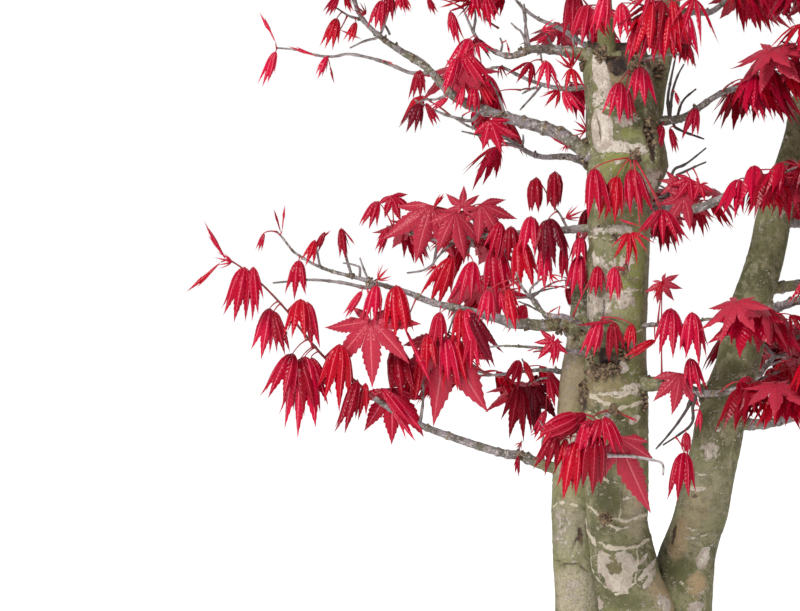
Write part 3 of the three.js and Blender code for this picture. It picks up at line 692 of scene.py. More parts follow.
def rounded(points, passes):
    """A line with its corners cut once or more, its ends kept."""
    points = np.asarray(points, float)
    for _ in range(passes):
        near = points[:-1] * 0.78 + points[1:] * 0.22
        far = points[:-1] * 0.22 + points[1:] * 0.78
        inner = np.stack([near, far], axis=1).reshape(-1, points.shape[1])
        points = np.concatenate([points[:1], inner[1:-1], points[-1:]])
    return points


def arc(start, bow, end, shares):
    """A curve from start to end that a third point bows, at shares of its length."""
    shares = np.asarray(shares, float)[..., None]
    return start * (1 - shares) ** 2 + bow * 2 * shares * (1 - shares) + end * shares**2


def lengths_along(line):
    """How far each point of a line is from its start."""
    return np.concatenate([[0], np.cumsum(np.linalg.norm(np.diff(line, axis=0), axis=1))])


def limb_point(name, share):
    """The limb's centre line as the solids have it."""
    trunk, foot_height, bow, tip = LIMBS[name][:4]
    x, y, _ = station_values(TRUNKS[trunk]["stations"], [foot_height])[0]
    random = seeded(LIMBS[name][8])
    phases = [random() * 2 * math.pi, random() * 2 * math.pi]
    share = np.asarray(share, float)
    line = arc(np.array([x, y, foot_height]), np.array(bow), np.array(tip), share)
    if name not in UPRIGHT:
        grown = WAVE_HEIGHT * np.minimum(1, 3 * share) * np.minimum(1, 6 * (1 - share))
        line[..., 1] += grown * np.sin(WAVES * 2 * math.pi * share + phases[0])
        line[..., 2] += grown * np.sin(WAVES * 2 * math.pi * share + phases[1])
    return line


def limb_way(name, share, step):
    """Which way the limb runs at a share of it."""
    return unit(limb_point(name, min(1, share + step)) - limb_point(name, max(0, share - step)))


def limb_line(name, step):
    """A limb's line: the one that the view shows at the solid's depth, or else the solid's own."""
    if name not in SEEN_LINES:
        return evenly(limb_point(name, np.linspace(0, 1, 80)), step)
    pixels, shares = evenly(rounded(SEEN_LINES[name], 2), PIXEL_STEP)
    depths = limb_point(name, shares)[:, 1]
    points = np.array([place_at(px, py, depth) for (px, py), depth in zip(pixels, depths)])
    return evenly(points, step)


# Meshes


class Skin:
    """Faces gathered into one piece, with the material of each and a value on each point."""

    def __init__(self):
        self.points = []
        self.faces = []
        self.slots = []
        self.values = []
        self.count = 0

    def add(self, points, faces, slot=0, values=None):
        points = np.asarray(points, float).reshape(-1, 3)
        faces = np.asarray(faces, int).reshape(-1, 3)
        self.points.append(points)
        self.faces.append(faces + self.count)
        self.slots.append(np.full(len(faces), slot))
        self.values.append(np.zeros(len(points)) if values is None else np.asarray(values, float).ravel())
        self.count += len(points)

    def made(self, name, materials, value_name=None, extra=None):
        """The piece, with its own values under a name, or else the extra ones, on its points."""
        points = np.concatenate(self.points) * MM
        faces = np.concatenate(self.faces)
        mesh = bpy.data.meshes.new(name)
        mesh.vertices.add(len(points))
        mesh.vertices.foreach_set("co", points.ravel().astype(np.float32))
        mesh.loops.add(len(faces) * 3)
        mesh.loops.foreach_set("vertex_index", faces.ravel().astype(np.int32))
        mesh.polygons.add(len(faces))
        mesh.polygons.foreach_set("loop_start", np.arange(0, len(faces) * 3, 3, dtype=np.int32))
        mesh.polygons.foreach_set("material_index", np.concatenate(self.slots).astype(np.int32))
        for material in materials:
            mesh.materials.append(material)
        mesh.update()
        mesh.validate()
        mesh.polygons.foreach_set("use_smooth", np.ones(len(mesh.polygons), dtype=bool))
        kept = {value_name: np.concatenate(self.values)} if value_name else (extra or {})
        for key, values in kept.items():
            attribute = mesh.attributes.new(key, "FLOAT", "POINT")
            attribute.data.foreach_set("value", values.astype(np.float32))
        piece = bpy.data.objects.new(name, mesh)
        bpy.context.scene.collection.objects.link(piece)
        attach(piece, "root")
        return piece


def ring_faces(rings, sides):
    """Triangles of a closed tube of rings, without its ends."""
    ring = np.arange(rings - 1)[:, None] * sides
    here = np.arange(sides)[None, :]
    a, b = ring + here, ring + (here + 1) % sides
    return halved(a, b, a + sides, b + sides)


def halved(a, b, c, d):
    """Two triangles for each face with the corners a, b, d and c."""
    return np.concatenate([np.stack([a, b, d], -1).reshape(-1, 3), np.stack([a, d, c], -1).reshape(-1, 3)])


def carried_frame(points):
    """The way of a line at each of its points, and two sides that turn with it as little as they can."""
    tangents = np.gradient(points, axis=0)
    tangents /= np.maximum(1e-9, np.linalg.norm(tangents, axis=1))[:, None]
    normal = np.cross(tangents[0], UP if abs(tangents[0][2]) < 0.9 else RIGHT)
    normals = np.empty_like(points)
    for i, tangent in enumerate(tangents):
        normal = normal - tangent * normal.dot(tangent)
        normal = normal / max(1e-9, math.sqrt(normal.dot(normal)))
        normals[i] = normal
    return tangents, normals, np.cross(tangents, normals)


def tube(skin, points, radii, sides, swell=0.0, value=0.0):
    """A round limb along a line. Swell is a share of the radius for each ring and side.

    Value is one for all of it, or one for each ring.
    """
    points = np.asarray(points, float)
    tangents, normals, binormals = carried_frame(points)
    angles = np.linspace(0, 2 * math.pi, sides, endpoint=False)
    reach = np.broadcast_to(radii[:, None] * (1 + swell), (len(points), sides))
    ahead, aside = np.cos(angles)[None, :, None], np.sin(angles)[None, :, None]
    out = ahead * normals[:, None] + aside * binormals[:, None]
    body = points[:, None] + reach[..., None] * out
    count = len(points) * sides
    here = np.arange(sides)
    next_one = (here + 1) % sides
    last = count - sides
    faces = [
        ring_faces(len(points), sides),
        np.stack([np.full(sides, count), next_one, here], -1),
        np.stack([np.full(sides, count + 1), last + here, last + next_one], -1),
    ]
    tips = np.stack([points[0] - tangents[0] * radii[0] * 0.3, points[-1] + tangents[-1] * radii[-1] * 0.6])
    ringed = np.repeat(np.broadcast_to(value, (len(points),)), sides)
    values = np.concatenate([ringed, ringed[:1], ringed[-1:]])
    skin.add(np.concatenate([body.reshape(-1, 3), tips]), np.concatenate(faces), 0, values)


# Bark of the trunks


def on_trunk(name, px, py):
    """The turn round a trunk from its front, and the height, of what the view shows at a pixel."""
    stations = TRUNKS[name]["stations"]
    height = float(CAMERA_Z - (py - CENTRE_PY) * PIXEL)
    for _ in range(3):
        x, y, radius = station_values(stations, [height])[0]
        point = place_at(px, py, y - radius * 0.7)
        height = point[2]
    across = np.clip((point[0] - x) / radius, -0.999, 0.999)
    return math.asin(across), height


class BarkMarks:
    """Works out, for every point of a trunk's surface, how strongly each named mark shows there."""

    def __init__(self, name, turns, heights, points):
        """Turns and heights of the trunk's points, and the noise that breaks the marks' edges up."""
        self.name = name
        self.turns = turns
        self.heights = heights
        self.points = points
        self.radius = station_values(TRUNKS[name]["stations"], heights)[..., 2]
        self.ragged = rough(points, 11, 5) * 0.45 + rough(points, 4.5, 9) * 0.4 + rough(points, 2, 13) * 0.3
        self.broken = smooth(-0.55, -0.1, rough(points, 7, 31, 2))
        self.wobble = lumps(points, 8, 77) * 1.5, rough(points, 7, 83, 2) * 2.4

    def apart(self, px, py):
        """How far round the trunk and up each point is from the place at a pixel."""
        turn, height = on_trunk(self.name, px, py)
        around = np.angle(np.exp(1j * (self.turns - turn))) * self.radius
        return around, self.heights - height

    def oval(self, px, py, half_wide, half_high, lean=0.0, ragged=0.35, soft=0.32):
        """A leaning, ragged oval of the given half sizes, in pixels."""
        around, up = self.apart(px, py)
        wide, high = half_wide * PIXEL, half_high * PIXEL
        turned = around * math.cos(lean) + up * math.sin(lean)
        risen = up * math.cos(lean) - around * math.sin(lean)
        distance = np.sqrt((turned / wide) ** 2 + (risen / high) ** 2)
        return 1 - smooth(1 - soft, 1 + soft, distance + ragged * self.ragged)

    def line(self, pixels, half_wide, ragged=0.9, soft=0.95):
        """A broken, ragged band of about the given half width, in pixels, along the pixels."""
        nearest = np.full(self.heights.shape, 1e9)
        places = [self.apart(px, py) for px, py in pixels]
        for (around_a, up_a), (around_b, up_b) in zip(places[:-1], places[1:]):
            step_around, step_up = around_a - around_b, up_a - up_b
            length = np.maximum(1e-6, step_around**2 + step_up**2)
            share = np.clip((around_a * step_around + up_a * step_up) / length, 0, 1)
            aside = around_a - share * step_around + self.wobble[0]
            gap = np.hypot(aside, up_a - share * step_up + self.wobble[1])
            nearest = np.minimum(nearest, gap)
        distance = nearest / (half_wide * PIXEL)
        return (1 - smooth(1 - soft, 1 + soft, distance + ragged * self.ragged)) * (0.35 + 0.65 * self.broken)


def strongest(*layers):
    return np.maximum.reduce(layers)


def main_trunk_marks(marks):
    """The main trunk's marks in the order of BARK_MASKS, painted light and shade among them, and the relief
    that they raise.
    """
    oval, line = marks.oval, marks.line
    heart = strongest(
        oval(605, 566, 12, 14, 0.2, 0.5),
        oval(625, 564, 12, 14, -0.2, 0.5),
        oval(615, 578, 15, 15, 0, 0.5),
    )
    heart = heart * 0.84 * (1 - 0.85 * oval(612, 567, 8, 6, 0.3, 1.6, 0.8))
    pale = strongest(
        oval(600, 72, 9, 26, 0.35, 0.5),
        oval(600, 100, 13, 11, 0, 0.9, 0.5) * 0.62,
        oval(601, 131, 14, 22, 0.05, 0.25),
        oval(622, 148, 28, 6, -0.08, 0.8) * 0.85,
        oval(628, 120, 15, 9, 0, 0.9, 0.5) * 0.6,
        oval(645, 66, 10, 16, 0, 0.8) * 0.8,
        oval(652, 182, 13, 14, 0.2, 0.8, 0.6) * 0.72,
        oval(630, 345, 16, 12, 0, 1.2, 0.7) * 0.52,
        oval(634, 385, 14, 20, 0, 1.2, 0.7) * 0.5,
        oval(618, 200, 26, 26, 0, 1.2, 0.7) * 0.44,
        oval(616, 262, 28, 24, 0, 1.2, 0.7) * 0.47,
        oval(612, 230, 32, 6, 0, 0.9, 0.6) * 0.72,
        oval(598, 204, 5, 12, 0.2, 0.9, 0.6) * 0.7,
        oval(596, 262, 4, 5, 0.3, 0.9),
        oval(627, 263, 9, 4, 0.2, 1.1),
        oval(594, 255, 3, 4, 0, 1.1),
        oval(612, 284, 9, 22, 0.5, 1.3, 0.7) * 0.6,
        oval(594, 306, 24, 18, 0, 1.1, 0.6) * 0.64,
        oval(626, 298, 15, 13, 0.3, 1.1, 0.6) * 0.6,
        oval(622, 366, 5, 7, 0.1, 0.9),
        oval(620, 393, 20, 2.2, 0.05, 1.3),
        oval(632, 386, 12, 3, 0.1, 1.2) * 0.8,
        oval(634, 420, 7, 3, 0.4, 0.9),
        oval(605, 479, 6, 1.6, -0.4, 0.9),
        oval(629, 480, 8, 1.8, 0.1, 0.9),
        oval(625, 498, 5, 1.7, 0.3, 0.8),
        oval(636, 488, 3.5, 3, 0, 0.9),
        heart,
        oval(645, 571, 2.6, 15, -0.95, 0.8),
        oval(649, 579, 2.8, 16, -0.95, 0.8),
        oval(652, 566, 2, 12, -0.95, 0.8),
        oval(643, 558, 2, 8, -0.9, 0.8),
        oval(664, 604, 14, 12, 0, 0.9, 0.6) * 0.7,
        oval(590, 606, 16, 8, 0.2, 0.9, 0.6) * 0.66,
    )
    dark = strongest(
        oval(599, 129, 3.4, 13, 0.12, 0.35) * 0.62,
        oval(617, 60, 13, 17, 0.1, 0.45),
        oval(647, 138, 5, 25, 0.05, 1.0) * 0.85,
        oval(634, 160, 7, 4, 0, 0.9) * 0.9,
        oval(601, 227, 3.6, 2.2, 0, 1.2) * 0.8,
        oval(614, 238, 3, 2.6, 0, 1.2) * 0.8,
        line([(566, 231), (588, 232), (606, 233), (616, 239)], 1.1, 1.0) * 0.6,
        oval(608, 360, 12, 14, 0.3, 0.8, 0.5),
        oval(580, 405, 10, 12, 0.2, 0.9) * 0.7,
        line([(605, 561), (611, 572)], 1.0, 1.3) * 0.5,
        line([(613, 570), (619, 562)], 1.0, 1.3) * 0.5,
        oval(605, 518, 6, 6, 0, 0.8) * 0.5,
        oval(650, 60, 8, 12, 0.1, 0.9) * 0.7,
        oval(582, 150, 8, 16, 0.2, 0.9) * 0.7,
    )
    tan = strongest(
        oval(668, 602, 20, 24, 0, 0.7) * 0.75,
        # painted light: the next two ovals lighten the right side of the trunk low down, as if lit from the
        # right
        oval(637, 500, 5, 12, 0.2, 0.6) * 0.6,
        oval(632, 506, 12, 26, 0, 0.8, 0.8) * 0.2,
        oval(599, 129, 6, 16, 0.1, 0.3),
        oval(613, 566, 11, 9, 0.2, 0.9, 0.6) * 0.25,
        oval(605, 518, 8, 8, 0, 0.5) * 0.5,
        oval(616, 78, 8, 9, 0.2, 0.9) * 0.5,
        oval(600, 390, 30, 16, 0, 0.9) * 0.35,
    )
    lines = strongest(
        line([(592, 396), (604, 403), (616, 408), (632, 406), (648, 399)], 2.2, 0.9),
        line([(600, 393), (616, 396), (637, 391)], 1.4, 1.1),
        line([(590, 412), (606, 420), (624, 419)], 0.8, 1.0),
        line([(588, 506), (593, 509), (599, 514)], 1.5),
        line([(613, 518), (624, 520), (634, 518), (647, 515)], 1.5),
        line([(601, 524), (612, 527), (626, 526)], 1.1),
        line([(584, 521), (587, 532), (597, 543)], 3.0, 0.9),
        line([(597, 543), (611, 547), (632, 546), (649, 539)], 2.0, 0.9),
        line([(592, 561), (600, 555), (608, 552), (611, 547)], 0.9),
        line([(636, 549), (637, 562), (633, 576), (634, 582), (626, 592), (616, 594)], 1.0),
        line([(592, 561), (594, 572), (602, 583), (612, 593)], 0.9),
        line([(588, 478), (598, 476), (608, 480)], 0.9),
        line([(622, 483), (638, 479)], 1.2, 1.0),
        line([(620, 502), (619, 516)], 0.8, 0.6),
        line([(588, 236), (612, 239), (640, 234)], 1.2, 1.0),
        line([(587, 290), (612, 294), (642, 290)], 1.0, 1.1),
        line([(592, 440), (620, 446), (646, 440)], 0.9, 1.1),
        line([(590, 186), (612, 190), (640, 186)], 0.8, 1.1),
        line([(588, 332), (610, 336), (642, 330)], 1.0, 1.1),
        line([(596, 110), (604, 107), (614, 111)], 0.9, 0.6),
        line([(590, 118), (589, 134), (592, 150)], 0.8, 0.6),
    )
    moss_and_painted_light = strongest(
        oval(616, 162, 17, 17, 0, 0.4),
        oval(606, 180, 20, 14, 0, 0.6) * 0.7,
        oval(612, 214, 16, 26, 0, 0.8) * 0.45,
        oval(600, 92, 5, 5, 0, 0.8) * 0.4,
        # painted light: this tall oval lightens the right side of the trunk, as if light fell on it there
        oval(632, 285, 18, 62, 0, 0.8, 0.6),
        oval(628, 380, 16, 30, 0, 0.8, 0.6) * 0.4,
        oval(628, 134, 9, 5, 0, 0.6) * 0.7,
        oval(612, 604, 20, 9, 0, 0.8) * 0.25,
    )
    grey = strongest(
        # painted light: the ovals at pixel x 649, 635 and 652 lighten the trunk's right edge, as if light
        # fell on it
        oval(649, 280, 7, 90, 0, 0.8) * 0.8, oval(612, 310, 36, 22, 0, 0.9) * 0.25,
        oval(635, 506, 12, 30, 0, 0.7, 0.6) * 0.8,
        oval(652, 440, 7, 50, 0, 0.8) * 0.6,
        oval(664, 598, 16, 20, 0, 0.8, 0.6) * 0.5,
    )
    deep = strongest(
        # painted shade: this oval darkens the left side of the trunk low down, which stands in shade
        oval(604, 490, 14, 26, 0, 0.6, 0.6),
        oval(612, 567, 10, 8, 0.4, 0.9, 0.6),
        oval(614, 572, 26, 24, 0, 0.5, 0.4) * 0.5,
        oval(618, 600, 26, 10, 0, 0.6, 0.6) * 0.85,
        oval(640, 570, 8, 14, 0, 0.7, 0.6) * 0.5,
        oval(596, 580, 8, 18, 0, 0.7, 0.6) * 0.6,
        oval(606, 528, 14, 12, 0, 0.6, 0.7) * 0.4,
        oval(612, 380, 20, 10, 0, 0.9, 0.7) * 0.3,
        oval(600, 600, 12, 8, 0, 0.8, 0.7) * 0.3,
    )
    raised = 1.0 * lines + 0.5 * pale
    for height, spot in (
        (2.8, oval(600, 131, 11, 21, 0.05, 0.1, 0.4)),
        (-5.32, oval(598, 130, 4.2, 13, 0.12, 0.1, 0.6)),
        (-1.4, oval(613, 567, 8, 7, 0.3, 0.5, 0.4)),
        (2.6, oval(605, 518, 6, 6, 0, 0.7, 0.6)),
        (-1.6, oval(604, 517, 2.4, 2.8, 0, 0.8, 0.5)),
        (1.4, oval(608, 365, 17, 11, 0.1, 0.6, 0.5)),
        (-4.2, oval(608, 365, 7, 5, 0.3, 0.7, 0.5)),
        (4.5, oval(580, 405, 10, 12, 0.1, 0.6, 0.6)),
        (-2, oval(580, 405, 4, 5, 0, 0.6, 0.5)),
        (3.8, oval(648, 138, 12, 27, 0.1, 0.7, 0.6)),
        (-3.4, oval(646, 136, 3.4, 21, 0.1, 1.0, 0.6)),
        (1.6, oval(612, 232, 34, 9, 0, 0.4, 0.6)),
        (2.2, oval(601, 230, 7, 6, 0, 0.5, 0.5)),
        (-1.6, oval(617, 60, 12, 16, 0.1, 0.3, 0.3)),
    ):
        raised = raised + height * spot
    return pale, dark, tan, lines, moss_and_painted_light, grey, deep, raised


def back_trunk_marks(marks):
    """The same marks of the back trunk."""
    oval, line = marks.oval, marks.line
    pale = strongest(
        oval(562, 528, 12, 30, 0, 0.9, 0.7) * 0.5,
        oval(572, 590, 24, 24, 0, 0.9, 0.7) * 0.48,
        oval(570, 440, 13, 26, 0, 1.1, 0.6) * 0.6,
        oval(570, 350, 14, 26, 0, 1.1) * 0.45,
        oval(582, 310, 12, 20, 0, 1.1) * 0.5,
    )
    dark = strongest(
        oval(580, 536, 3.4, 10, 0.1, 0.7) * 0.8,
        line([(556, 561), (566, 565), (577, 564), (588, 571)], 1.7, 1.0) * 0.7,
        line([(576, 538), (573, 547), (570, 557)], 1.5, 0.9) * 0.75,
        oval(562, 520, 5, 10, 0.3, 1.3) * 0.4,
        oval(561, 566, 8, 3, 0, 1.0) * 0.45,
    )
    tan = strongest(
        oval(566, 592, 20, 30, 0, 0.9) * 0.15,
        oval(566, 440, 20, 60, 0, 1.0) * 0.3,
        oval(568, 380, 20, 40, 0, 0.9) * 0.45,
    )
    lines = strongest(
        line([(554, 507), (564, 503), (578, 505)], 1.5, 0.8),
        line([(556, 455), (570, 458), (584, 455)], 1.0, 1.0),
    )
    moss_and_painted_light = oval(568, 486, 16, 13, 0, 0.7) * 0.15
    grey = strongest(
        oval(568, 530, 18, 32, 0, 0.7) * 0.6, oval(572, 592, 26, 26, 0, 0.6),
        oval(568, 380, 16, 30, 0, 1.0) * 0.7, oval(568, 450, 16, 24, 0, 1.0) * 0.7,
    )
    raised = 1.0 * lines + 0.7 * pale - 2.2 * dark + 1.8 * oval(573, 535, 10, 18, 0, 0.3, 0.6)
    return pale, dark, tan, lines, moss_and_painted_light, grey, np.zeros(pale.shape), raised


def right_trunk_marks(marks):
    """The same marks of the right trunk."""
    oval, line = marks.oval, marks.line
    pale = strongest(
        oval(703, 558, 8, 11, 0, 0.9) * 0.8,
        oval(694, 490, 14, 3, 0.1, 1.0) * 0.6,
        oval(696, 606, 12, 6, 0, 1.0) * 0.7,
        oval(698, 478, 12, 2, 0, 1.0) * 0.5,
        oval(710, 450, 12, 9, 0, 1.1) * 0.6,
    )
    dark = strongest(
        oval(674, 535, 3.2, 11, 0.3, 0.6) * 0.95,
        oval(694, 496, 4, 2.5, 0, 0.6) * 0.7,
        oval(676, 570, 15, 14, 0, 0.8) * 0.3,
        oval(684, 596, 14, 8, 0, 0.9) * 0.3,
        oval(666, 552, 3, 9, 0.4, 0.9) * 0.5,
    )
    tan = strongest(
        oval(678, 538, 10, 22, 0.3, 0.6) * 0.75,
        oval(697, 584, 11, 12, 0, 0.7) * 0.9,
        oval(694, 508, 16, 22, 0, 0.8) * 0.25,
    )
    lines = strongest(
        line([(686, 527), (696, 532), (706, 534)], 1.0, 0.9),
        line([(664, 574), (676, 578), (690, 588)], 1.0, 0.9),
        line([(684, 484), (704, 488)], 1.2, 1.0),
        line([(684, 470), (706, 474)], 1.0, 1.0),
    )
    moss_and_painted_light = oval(680, 572, 18, 18, 0, 0.7) * 0.12
    grey = oval(700, 500, 30, 40, 0, 0.8) * 0.3
    raised = 3.0 * oval(676, 539, 9, 18, 0.2, 0.3, 0.5) - 4.6 * oval(674, 536, 3.2, 11, 0.25, 0.5, 0.5)
    raised = raised + 0.9 * lines + 0.6 * pale
    deep = oval(678, 570, 16, 16, 0, 0.8) * 0.6
    return pale, dark, tan, lines, moss_and_painted_light, grey, deep, raised


def plain_marks(marks):
    """The marks of a young shoot: pale flecks on even bark."""
    none = np.zeros(marks.heights.shape)
    pale = smooth(0.25, 0.5, marks.ragged) * 0.7
    return pale, none, none + 0.1, none, none + 0.3, none, none, none


TRUNK_MARKS = {
    "trunk_main": main_trunk_marks,
    "trunk_back": back_trunk_marks,
    "trunk_right": right_trunk_marks,
    "leader": plain_marks,
}


def ring_wrinkles(points, heights, name):
    """Old leaf scars run round the trunk as low ridges that wander a little and fade in and out."""
    random = seeded(len(name) * 31 + 7)
    height = WRINKLES["first"]
    total = np.zeros(heights.shape)
    wander = lumps(points, 30, 51) * WRINKLES["wander"]
    strength = smooth(-0.2, 0.5, lumps(points, 22, 58))
    wide = WRINKLES["half_width"]
    while height < WRINKLES["last"]:
        distance = heights + wander - height
        groove = 0.5 * np.exp(-(((distance + 2 * wide) / wide) ** 2))
        total += (np.exp(-((distance / wide) ** 2)) - groove) * strength
        height += between(WRINKLES["gaps"], random())
    return total


def chopped(heights, depths, top):
    """Heights drawn down to the slope of the healed chop at the top of the main trunk."""
    rim = np.minimum(top, CHOP_HEIGHT + math.tan(CHOP_SLOPE) * depths)
    share = np.clip((heights - CHOP_START) / (top - CHOP_START), 0, 1)
    return np.where(heights > CHOP_START, CHOP_START + share * (rim - CHOP_START), heights)


def bare_trunk(name):
    """A trunk without bark: the turn, height, middle, way out and radius of each of its points."""
    spec = TRUNKS[name]
    stations = spec["stations"]
    levels = np.linspace(stations[0][0], stations[-1][0], spec["rings"])
    turns = np.linspace(-math.pi, math.pi, spec["sides"], endpoint=False)
    heights, turns = np.meshgrid(levels, turns, indexing="ij")
    values = station_values(stations, heights)
    centre, radius = values[..., :2], values[..., 2]
    out = np.stack([np.sin(turns), -np.cos(turns)], -1)
    if spec["flare"]:
        lobes = np.cos(spec["flare"] * np.arctan2(out[..., 1], out[..., 0]))
        radius = radius * (1 + FLARE_DEPTH * np.maximum(0, 1 - heights / FLARE_HEIGHT) * lobes)
    if name == CHOPPED_TRUNK:
        depths = (centre + out * radius[..., None])[..., 1]
        heights = chopped(heights, depths, stations[-1][0])
    return turns, heights, centre, out, radius


def bark_relief(points, heights, radius, name):
    """How far the bark stands out of a trunk, without what its marks raise."""
    stretched = points * np.array([1, 1, 0.45])
    relief = rough(points, 34, 3, 2) * radius * 0.045
    relief = relief + rough(stretched, 7, 11, 3) * 0.7 + rough(points, 2.6, 23, 2) * 0.3
    relief = relief + ring_wrinkles(points, heights, name) * 0.5
    return relief * np.clip(radius / FULL_RELIEF_RADIUS, 0.25, 1)


def closed_trunk(points, top):
    """The points and faces of a trunk, its foot flat and its top as rugged and hollow as is said."""
    rings, sides = points.shape[:2]
    first = np.arange(sides)
    count = rings * sides
    faces = [ring_faces(rings, sides), np.stack([np.full(sides, count), (first + 1) % sides, first], -1)]
    added = [points[0].mean(axis=0)[None]]
    count += 1
    rim = points[-1]
    middle = rim.mean(axis=0)
    outer = (rings - 1) * sides + first
    for step in range(1, CAP_RINGS):
        share = 1 - step / CAP_RINGS
        ring = middle + (rim - middle) * share
        raised = rough(ring, 5, 71, 3) * top["rugged"] - top["hollow"] * (1 - share**2)
        added.append(ring + np.array([0, 0, 1]) * raised[:, None])
        inner = count + first
        next_inner = np.roll(inner, -1)
        faces.append(np.stack([outer, np.roll(outer, -1), next_inner], -1))
        faces.append(np.stack([outer, next_inner, inner], -1))
        outer = inner
        count += sides
    added.append((middle - np.array([0, 0, top["hollow"]]))[None])
    faces.append(np.stack([outer, np.roll(outer, -1), np.full(sides, count)], -1))
    return np.concatenate([points.reshape(-1, 3)] + added), np.concatenate(faces)


def trunk_piece(name, material):
    turns, heights, centre, out, radius = bare_trunk(name)
    points = np.concatenate([centre + out * radius[..., None], heights[..., None]], -1)
    *masks, raised = TRUNK_MARKS[name](BarkMarks(name, turns, heights, points))
    relief = bark_relief(points, heights, radius, name) + raised
    if TRUNKS[name]["stations"][0][0] == 0:
        relief = relief * smooth(0, FLAT_FOOT, heights)
    points = np.concatenate([centre + out * (radius + relief)[..., None], heights[..., None]], -1)
    top = TRUNK_TOPS.get(name, GROWN_TOP)
    all_points, faces = closed_trunk(points, top)
    skin = Skin()
    skin.add(all_points, faces)
    cap_values = {"dark": top["dark"], "tan": 0.1}
    extra = {}
    for key, values in zip(BARK_MASKS, masks):
        cap = np.full(len(all_points) - values.size, cap_values.get(key, 0))
        extra[key] = np.concatenate([values.ravel(), cap])
    piece = skin.made("bark_" + name, [material], extra=extra)
    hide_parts(name)


# Materials


class Paint:
    """A material of one shader, with short ways to add noise, ramps and mixes to it."""

    def __init__(self, name):
        self.material = bpy.data.materials.new(name)
        self.material.use_nodes = True
        self.nodes = self.material.node_tree.nodes
        self.links = self.material.node_tree.links
        self.shader = self.nodes["Principled BSDF"]
        self.place = self.nodes.new("ShaderNodeTexCoord").outputs["Object"]

    def put(self, value, socket):
        """Sets a socket to a number or a colour, or links it to another node's output."""
        if isinstance(value, (int, float)):
            socket.default_value = value
        elif isinstance(value, tuple):
            socket.default_value = (*value, 1)
        else:
            self.links.new(value, socket)

    def stretched(self, scale):
        if scale is None:
            return self.place
        mapping = self.nodes.new("ShaderNodeMapping")
        mapping.inputs["Scale"].default_value = scale
        self.links.new(self.place, mapping.inputs["Vector"])
        return mapping.outputs["Vector"]

    def noise(self, scale, detail=4, roughness=0.55, stretch=None, distortion=0.0):
        node = self.nodes.new("ShaderNodeTexNoise")
        node.inputs["Scale"].default_value = scale
        node.inputs["Detail"].default_value = detail
        node.inputs["Roughness"].default_value = roughness
        node.inputs["Distortion"].default_value = distortion
        self.links.new(self.stretched(stretch), node.inputs["Vector"])
        return node.outputs["Fac"]

    def cells(self, scale, stretch):
        node = self.nodes.new("ShaderNodeTexVoronoi")
        node.inputs["Scale"].default_value = scale
        self.links.new(self.stretched(stretch), node.inputs["Vector"])
        return node.outputs["Distance"]

    def attribute(self, name):
        node = self.nodes.new("ShaderNodeAttribute")
        node.attribute_name = name
        return node.outputs["Fac"]

    def ramp(self, value, low, high, start=0.0, end=1.0):
        node = self.nodes.new("ShaderNodeMapRange")
        node.interpolation_type = "SMOOTHSTEP"
        node.inputs["From Min"].default_value = low
        node.inputs["From Max"].default_value = high
        node.inputs["To Min"].default_value = start
        node.inputs["To Max"].default_value = end
        self.links.new(value, node.inputs["Value"])
        return node.outputs["Result"]

    def math(self, operation, a, b=0.0):
        node = self.nodes.new("ShaderNodeMath")
        node.operation = operation
        self.put(a, node.inputs[0])
        self.put(b, node.inputs[1])
        return node.outputs["Value"]

    def sum(self, a, b):
        return self.math("ADD", a, b)

    def times(self, a, b):
        return self.math("MULTIPLY", a, b)

    def higher(self, a, b):
        return self.math("MAXIMUM", a, b)

    def mix(self, share, a, b):
        node = self.nodes.new("ShaderNodeMix")
        node.data_type = "RGBA"
        for index, value in ((0, share), (6, a), (7, b)):
            self.put(value, node.inputs[index])
        return node.outputs[2]

    def crisp(self, name, grain, strength=0.9, low=0.4, high=0.6):
        """A mark with its soft edge broken up by a grain."""
        shaken = self.times(self.math("SUBTRACT", grain, 0.5), strength)
        return self.ramp(self.sum(self.attribute(name), shaken), low, high)

    def bump(self, height, strength, distance):
        node = self.nodes.new("ShaderNodeBump")
        node.inputs["Strength"].default_value = strength
        node.inputs["Distance"].default_value = distance
        self.links.new(height, node.inputs["Height"])
        self.links.new(node.outputs["Normal"], self.shader.inputs["Normal"])

    def finished(self, colour, roughness, specular=0.5):
        """The material, once its colour, roughness and specular level are on the shader."""
        self.put(colour, self.shader.inputs["Base Color"])
        self.put(roughness, self.shader.inputs["Roughness"])
        self.put(specular, self.shader.inputs["Specular IOR Level"])
        return self.material


def cork_colour(paint, middle, grain):
    """Cream cork with brown grain and dark cracks, duller where the deep mask lies; low on the main trunk's
    left side that dulling is painted shade.
    """
    colour = paint.mix(paint.ramp(middle, 0.4, 0.62), CREAM, (0.40, 0.33, 0.285))
    colour = paint.mix(paint.ramp(grain, 0.46, 0.66, 0, 0.8), colour, (0.33, 0.27, 0.19))
    wander = paint.noise(130, 4, 0.6, (1, 1, 0.6), 1.0)
    off_middle = paint.math("ABSOLUTE", paint.math("SUBTRACT", wander, 0.5))
    colour = paint.mix(paint.ramp(off_middle, 0.0, 0.022, 0.75, 0), colour, (0.19, 0.145, 0.085))
    return paint.mix(paint.times(paint.attribute("deep"), 0.75), colour, (0.36, 0.295, 0.225))


def cork_share(paint, middle, fine):
    """Where cork covers the bark: in the pale marks, in fine flecks and in round spots."""
    flecks = paint.ramp(paint.noise(190, 5, 0.66, (1, 1, 1.6), 1.2), 0.57, 0.605)
    flecks = paint.times(flecks, paint.ramp(paint.noise(34, 3), 0.43, 0.55))
    spots = paint.ramp(paint.cells(110, (1, 1, 1.7)), 0.17, 0.1)
    spots = paint.times(spots, paint.ramp(paint.noise(60, 2), 0.5, 0.6))
    patchy = paint.times(paint.sum(middle, fine), 0.5)
    return paint.higher(paint.crisp("pale", patchy, 2.2, 0.42, 0.58), paint.higher(flecks, spots))


